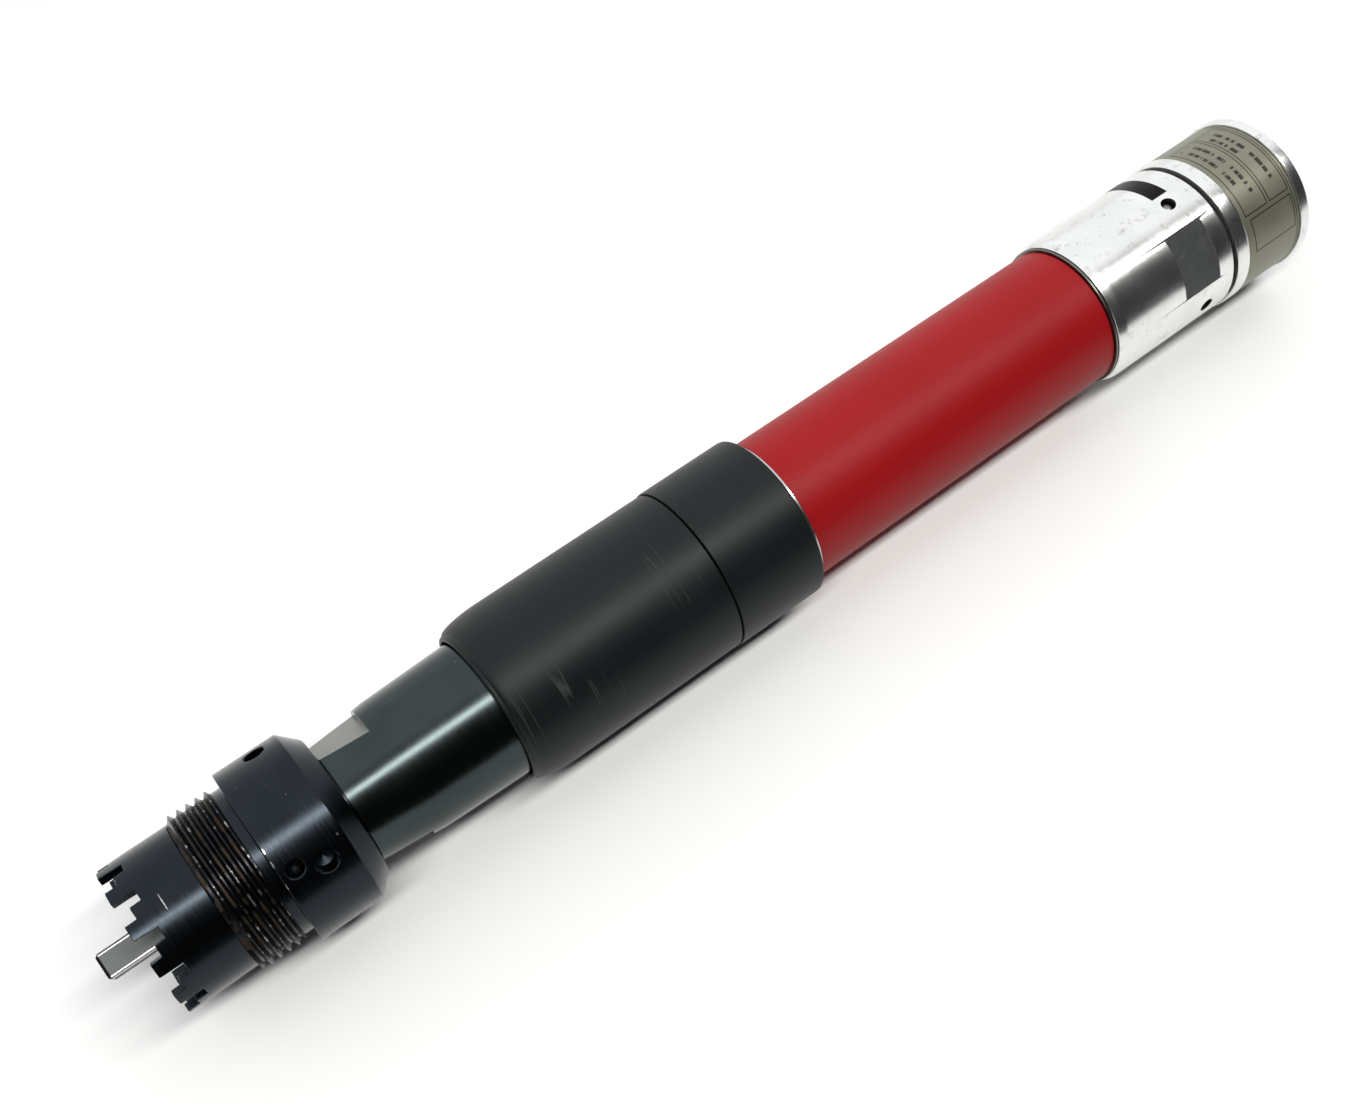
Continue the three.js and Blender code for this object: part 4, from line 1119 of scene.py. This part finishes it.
def inlet_bushing():
    """Threaded sleeve the air hose screws into."""
    start, end, radius = span("inlet_bushing")
    bore, depth, pitch, threads = 8.3, 0.55, 1.34, 11
    grooves = []
    for k in range(threads):
        crest = end - 1.6 - k * pitch
        grooves += [(crest, bore, 0), (crest - pitch / 2, bore + depth, 0)]
    return turned("inlet_bushing_fine", [
        (start, bore, 0.2), (start, radius, 0.3),
        (end, radius, 0.3), (end, bore + 0.8, 0.2), *grooves])


finish_piece(rear_head(), "housing", "aluminium", PLAIN_ALUMINIUM, "rear_head")
for k in range(4):
    finish_piece(head_pin(k), "housing", "bright_steel", PIN_STEEL, "head_pin_%d" % (k + 1))
groove_start, groove_end, groove_radius = span("groove_o_ring")
finish_piece(
    o_ring("groove_o_ring_fine", (groove_start + groove_end) / 2, groove_radius - 0.45, 0.45, 1.2),
    "housing", "rubber", RUBBER, "groove_o_ring")
finish_piece(end_cap(), "housing", "aluminium", PLAIN_ALUMINIUM, "end_cap")
finish_piece(inlet_bushing(), "housing", "aluminium", PLAIN_ALUMINIUM, "inlet_bushing")
finish_piece(
    plain_ring("exhaust_silencer_fine", "exhaust_silencer", 0.3, 10.9),
    "housing", "felt", FELT, "exhaust_silencer")
band_start, band_end, band_radius = span("name_band")
finish_piece(
    plain_ring("name_band_fine", "name_band", 0.12, band_radius - 0.3), "housing", "olive_band",
    olive_band("rating_band", band_start, band_end, INDEX_TURN - 45), "name_band")

# ------------------------------------------------------------------------------------------
# Springs


def coil_spring(name, node, radius, wire, coils):
    """Round wire wound from one end of a CAD spring to the other; wire is its radius."""
    start, end, _ = span(node)
    first, last = start + wire, end - wire
    steps, sides = 28 * coils, 10
    bm = bmesh.new()
    rings = []
    for i in range(steps + 1):
        x = first + (last - first) * i / steps
        turn = 360 * coils * i / steps
        ring = []
        for j in range(sides):
            way = 2 * math.pi * j / sides
            reach = radius + wire * math.sin(way)
            ring.append(bm.verts.new(point(x + wire * math.cos(way), reach, turn)))
        rings.append(ring)
    for ring, following in zip(rings, rings[1:]):
        for j in range(sides):
            k = (j + 1) % sides
            bm.faces.new([ring[j], ring[k], following[k], following[j]])
    bm.faces.new(rings[0][::-1])
    bm.faces.new(rings[-1])
    return mesh_object(name, bm, 60)


def shorten(spring):
    """Gives a spring its own copy of its mesh."""
    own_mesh(spring)


clutch_spring = coil_spring("clutch_spring_fine", "clutch_spring", 9.6, 1.1, 7)
finish_piece(clutch_spring, "clutch_drive", "spring_steel", SPRING_STEEL, "clutch_spring")
shorten(clutch_spring)

valve_spring = coil_spring("valve_spring_fine", "valve_spring", 3, 0.4, 5)
finish_piece(valve_spring, "housing", "spring_steel", SPRING_STEEL, "valve_spring")
shorten(valve_spring)

# ------------------------------------------------------------------------------------------
# Pieces that stay as the CAD model has them

CAD_MATERIALS = {
    "ground_steel": GROUND_STEEL,
    "bright_steel": BRIGHT_STEEL,
    "spring_steel": SPRING_STEEL,
    "bronze": BRONZE,
    "rubber": RUBBER,
    "composite": LAMINATE,
}
for part in frame["record"]["subparts"]:
    node = frame["nodes"][part["node"]]
    if node.hide_render:
        continue
    node.data.materials.clear()
    node.data.materials.append(CAD_MATERIALS[part["material_slot"]])
    sharpen(node.data, 32)
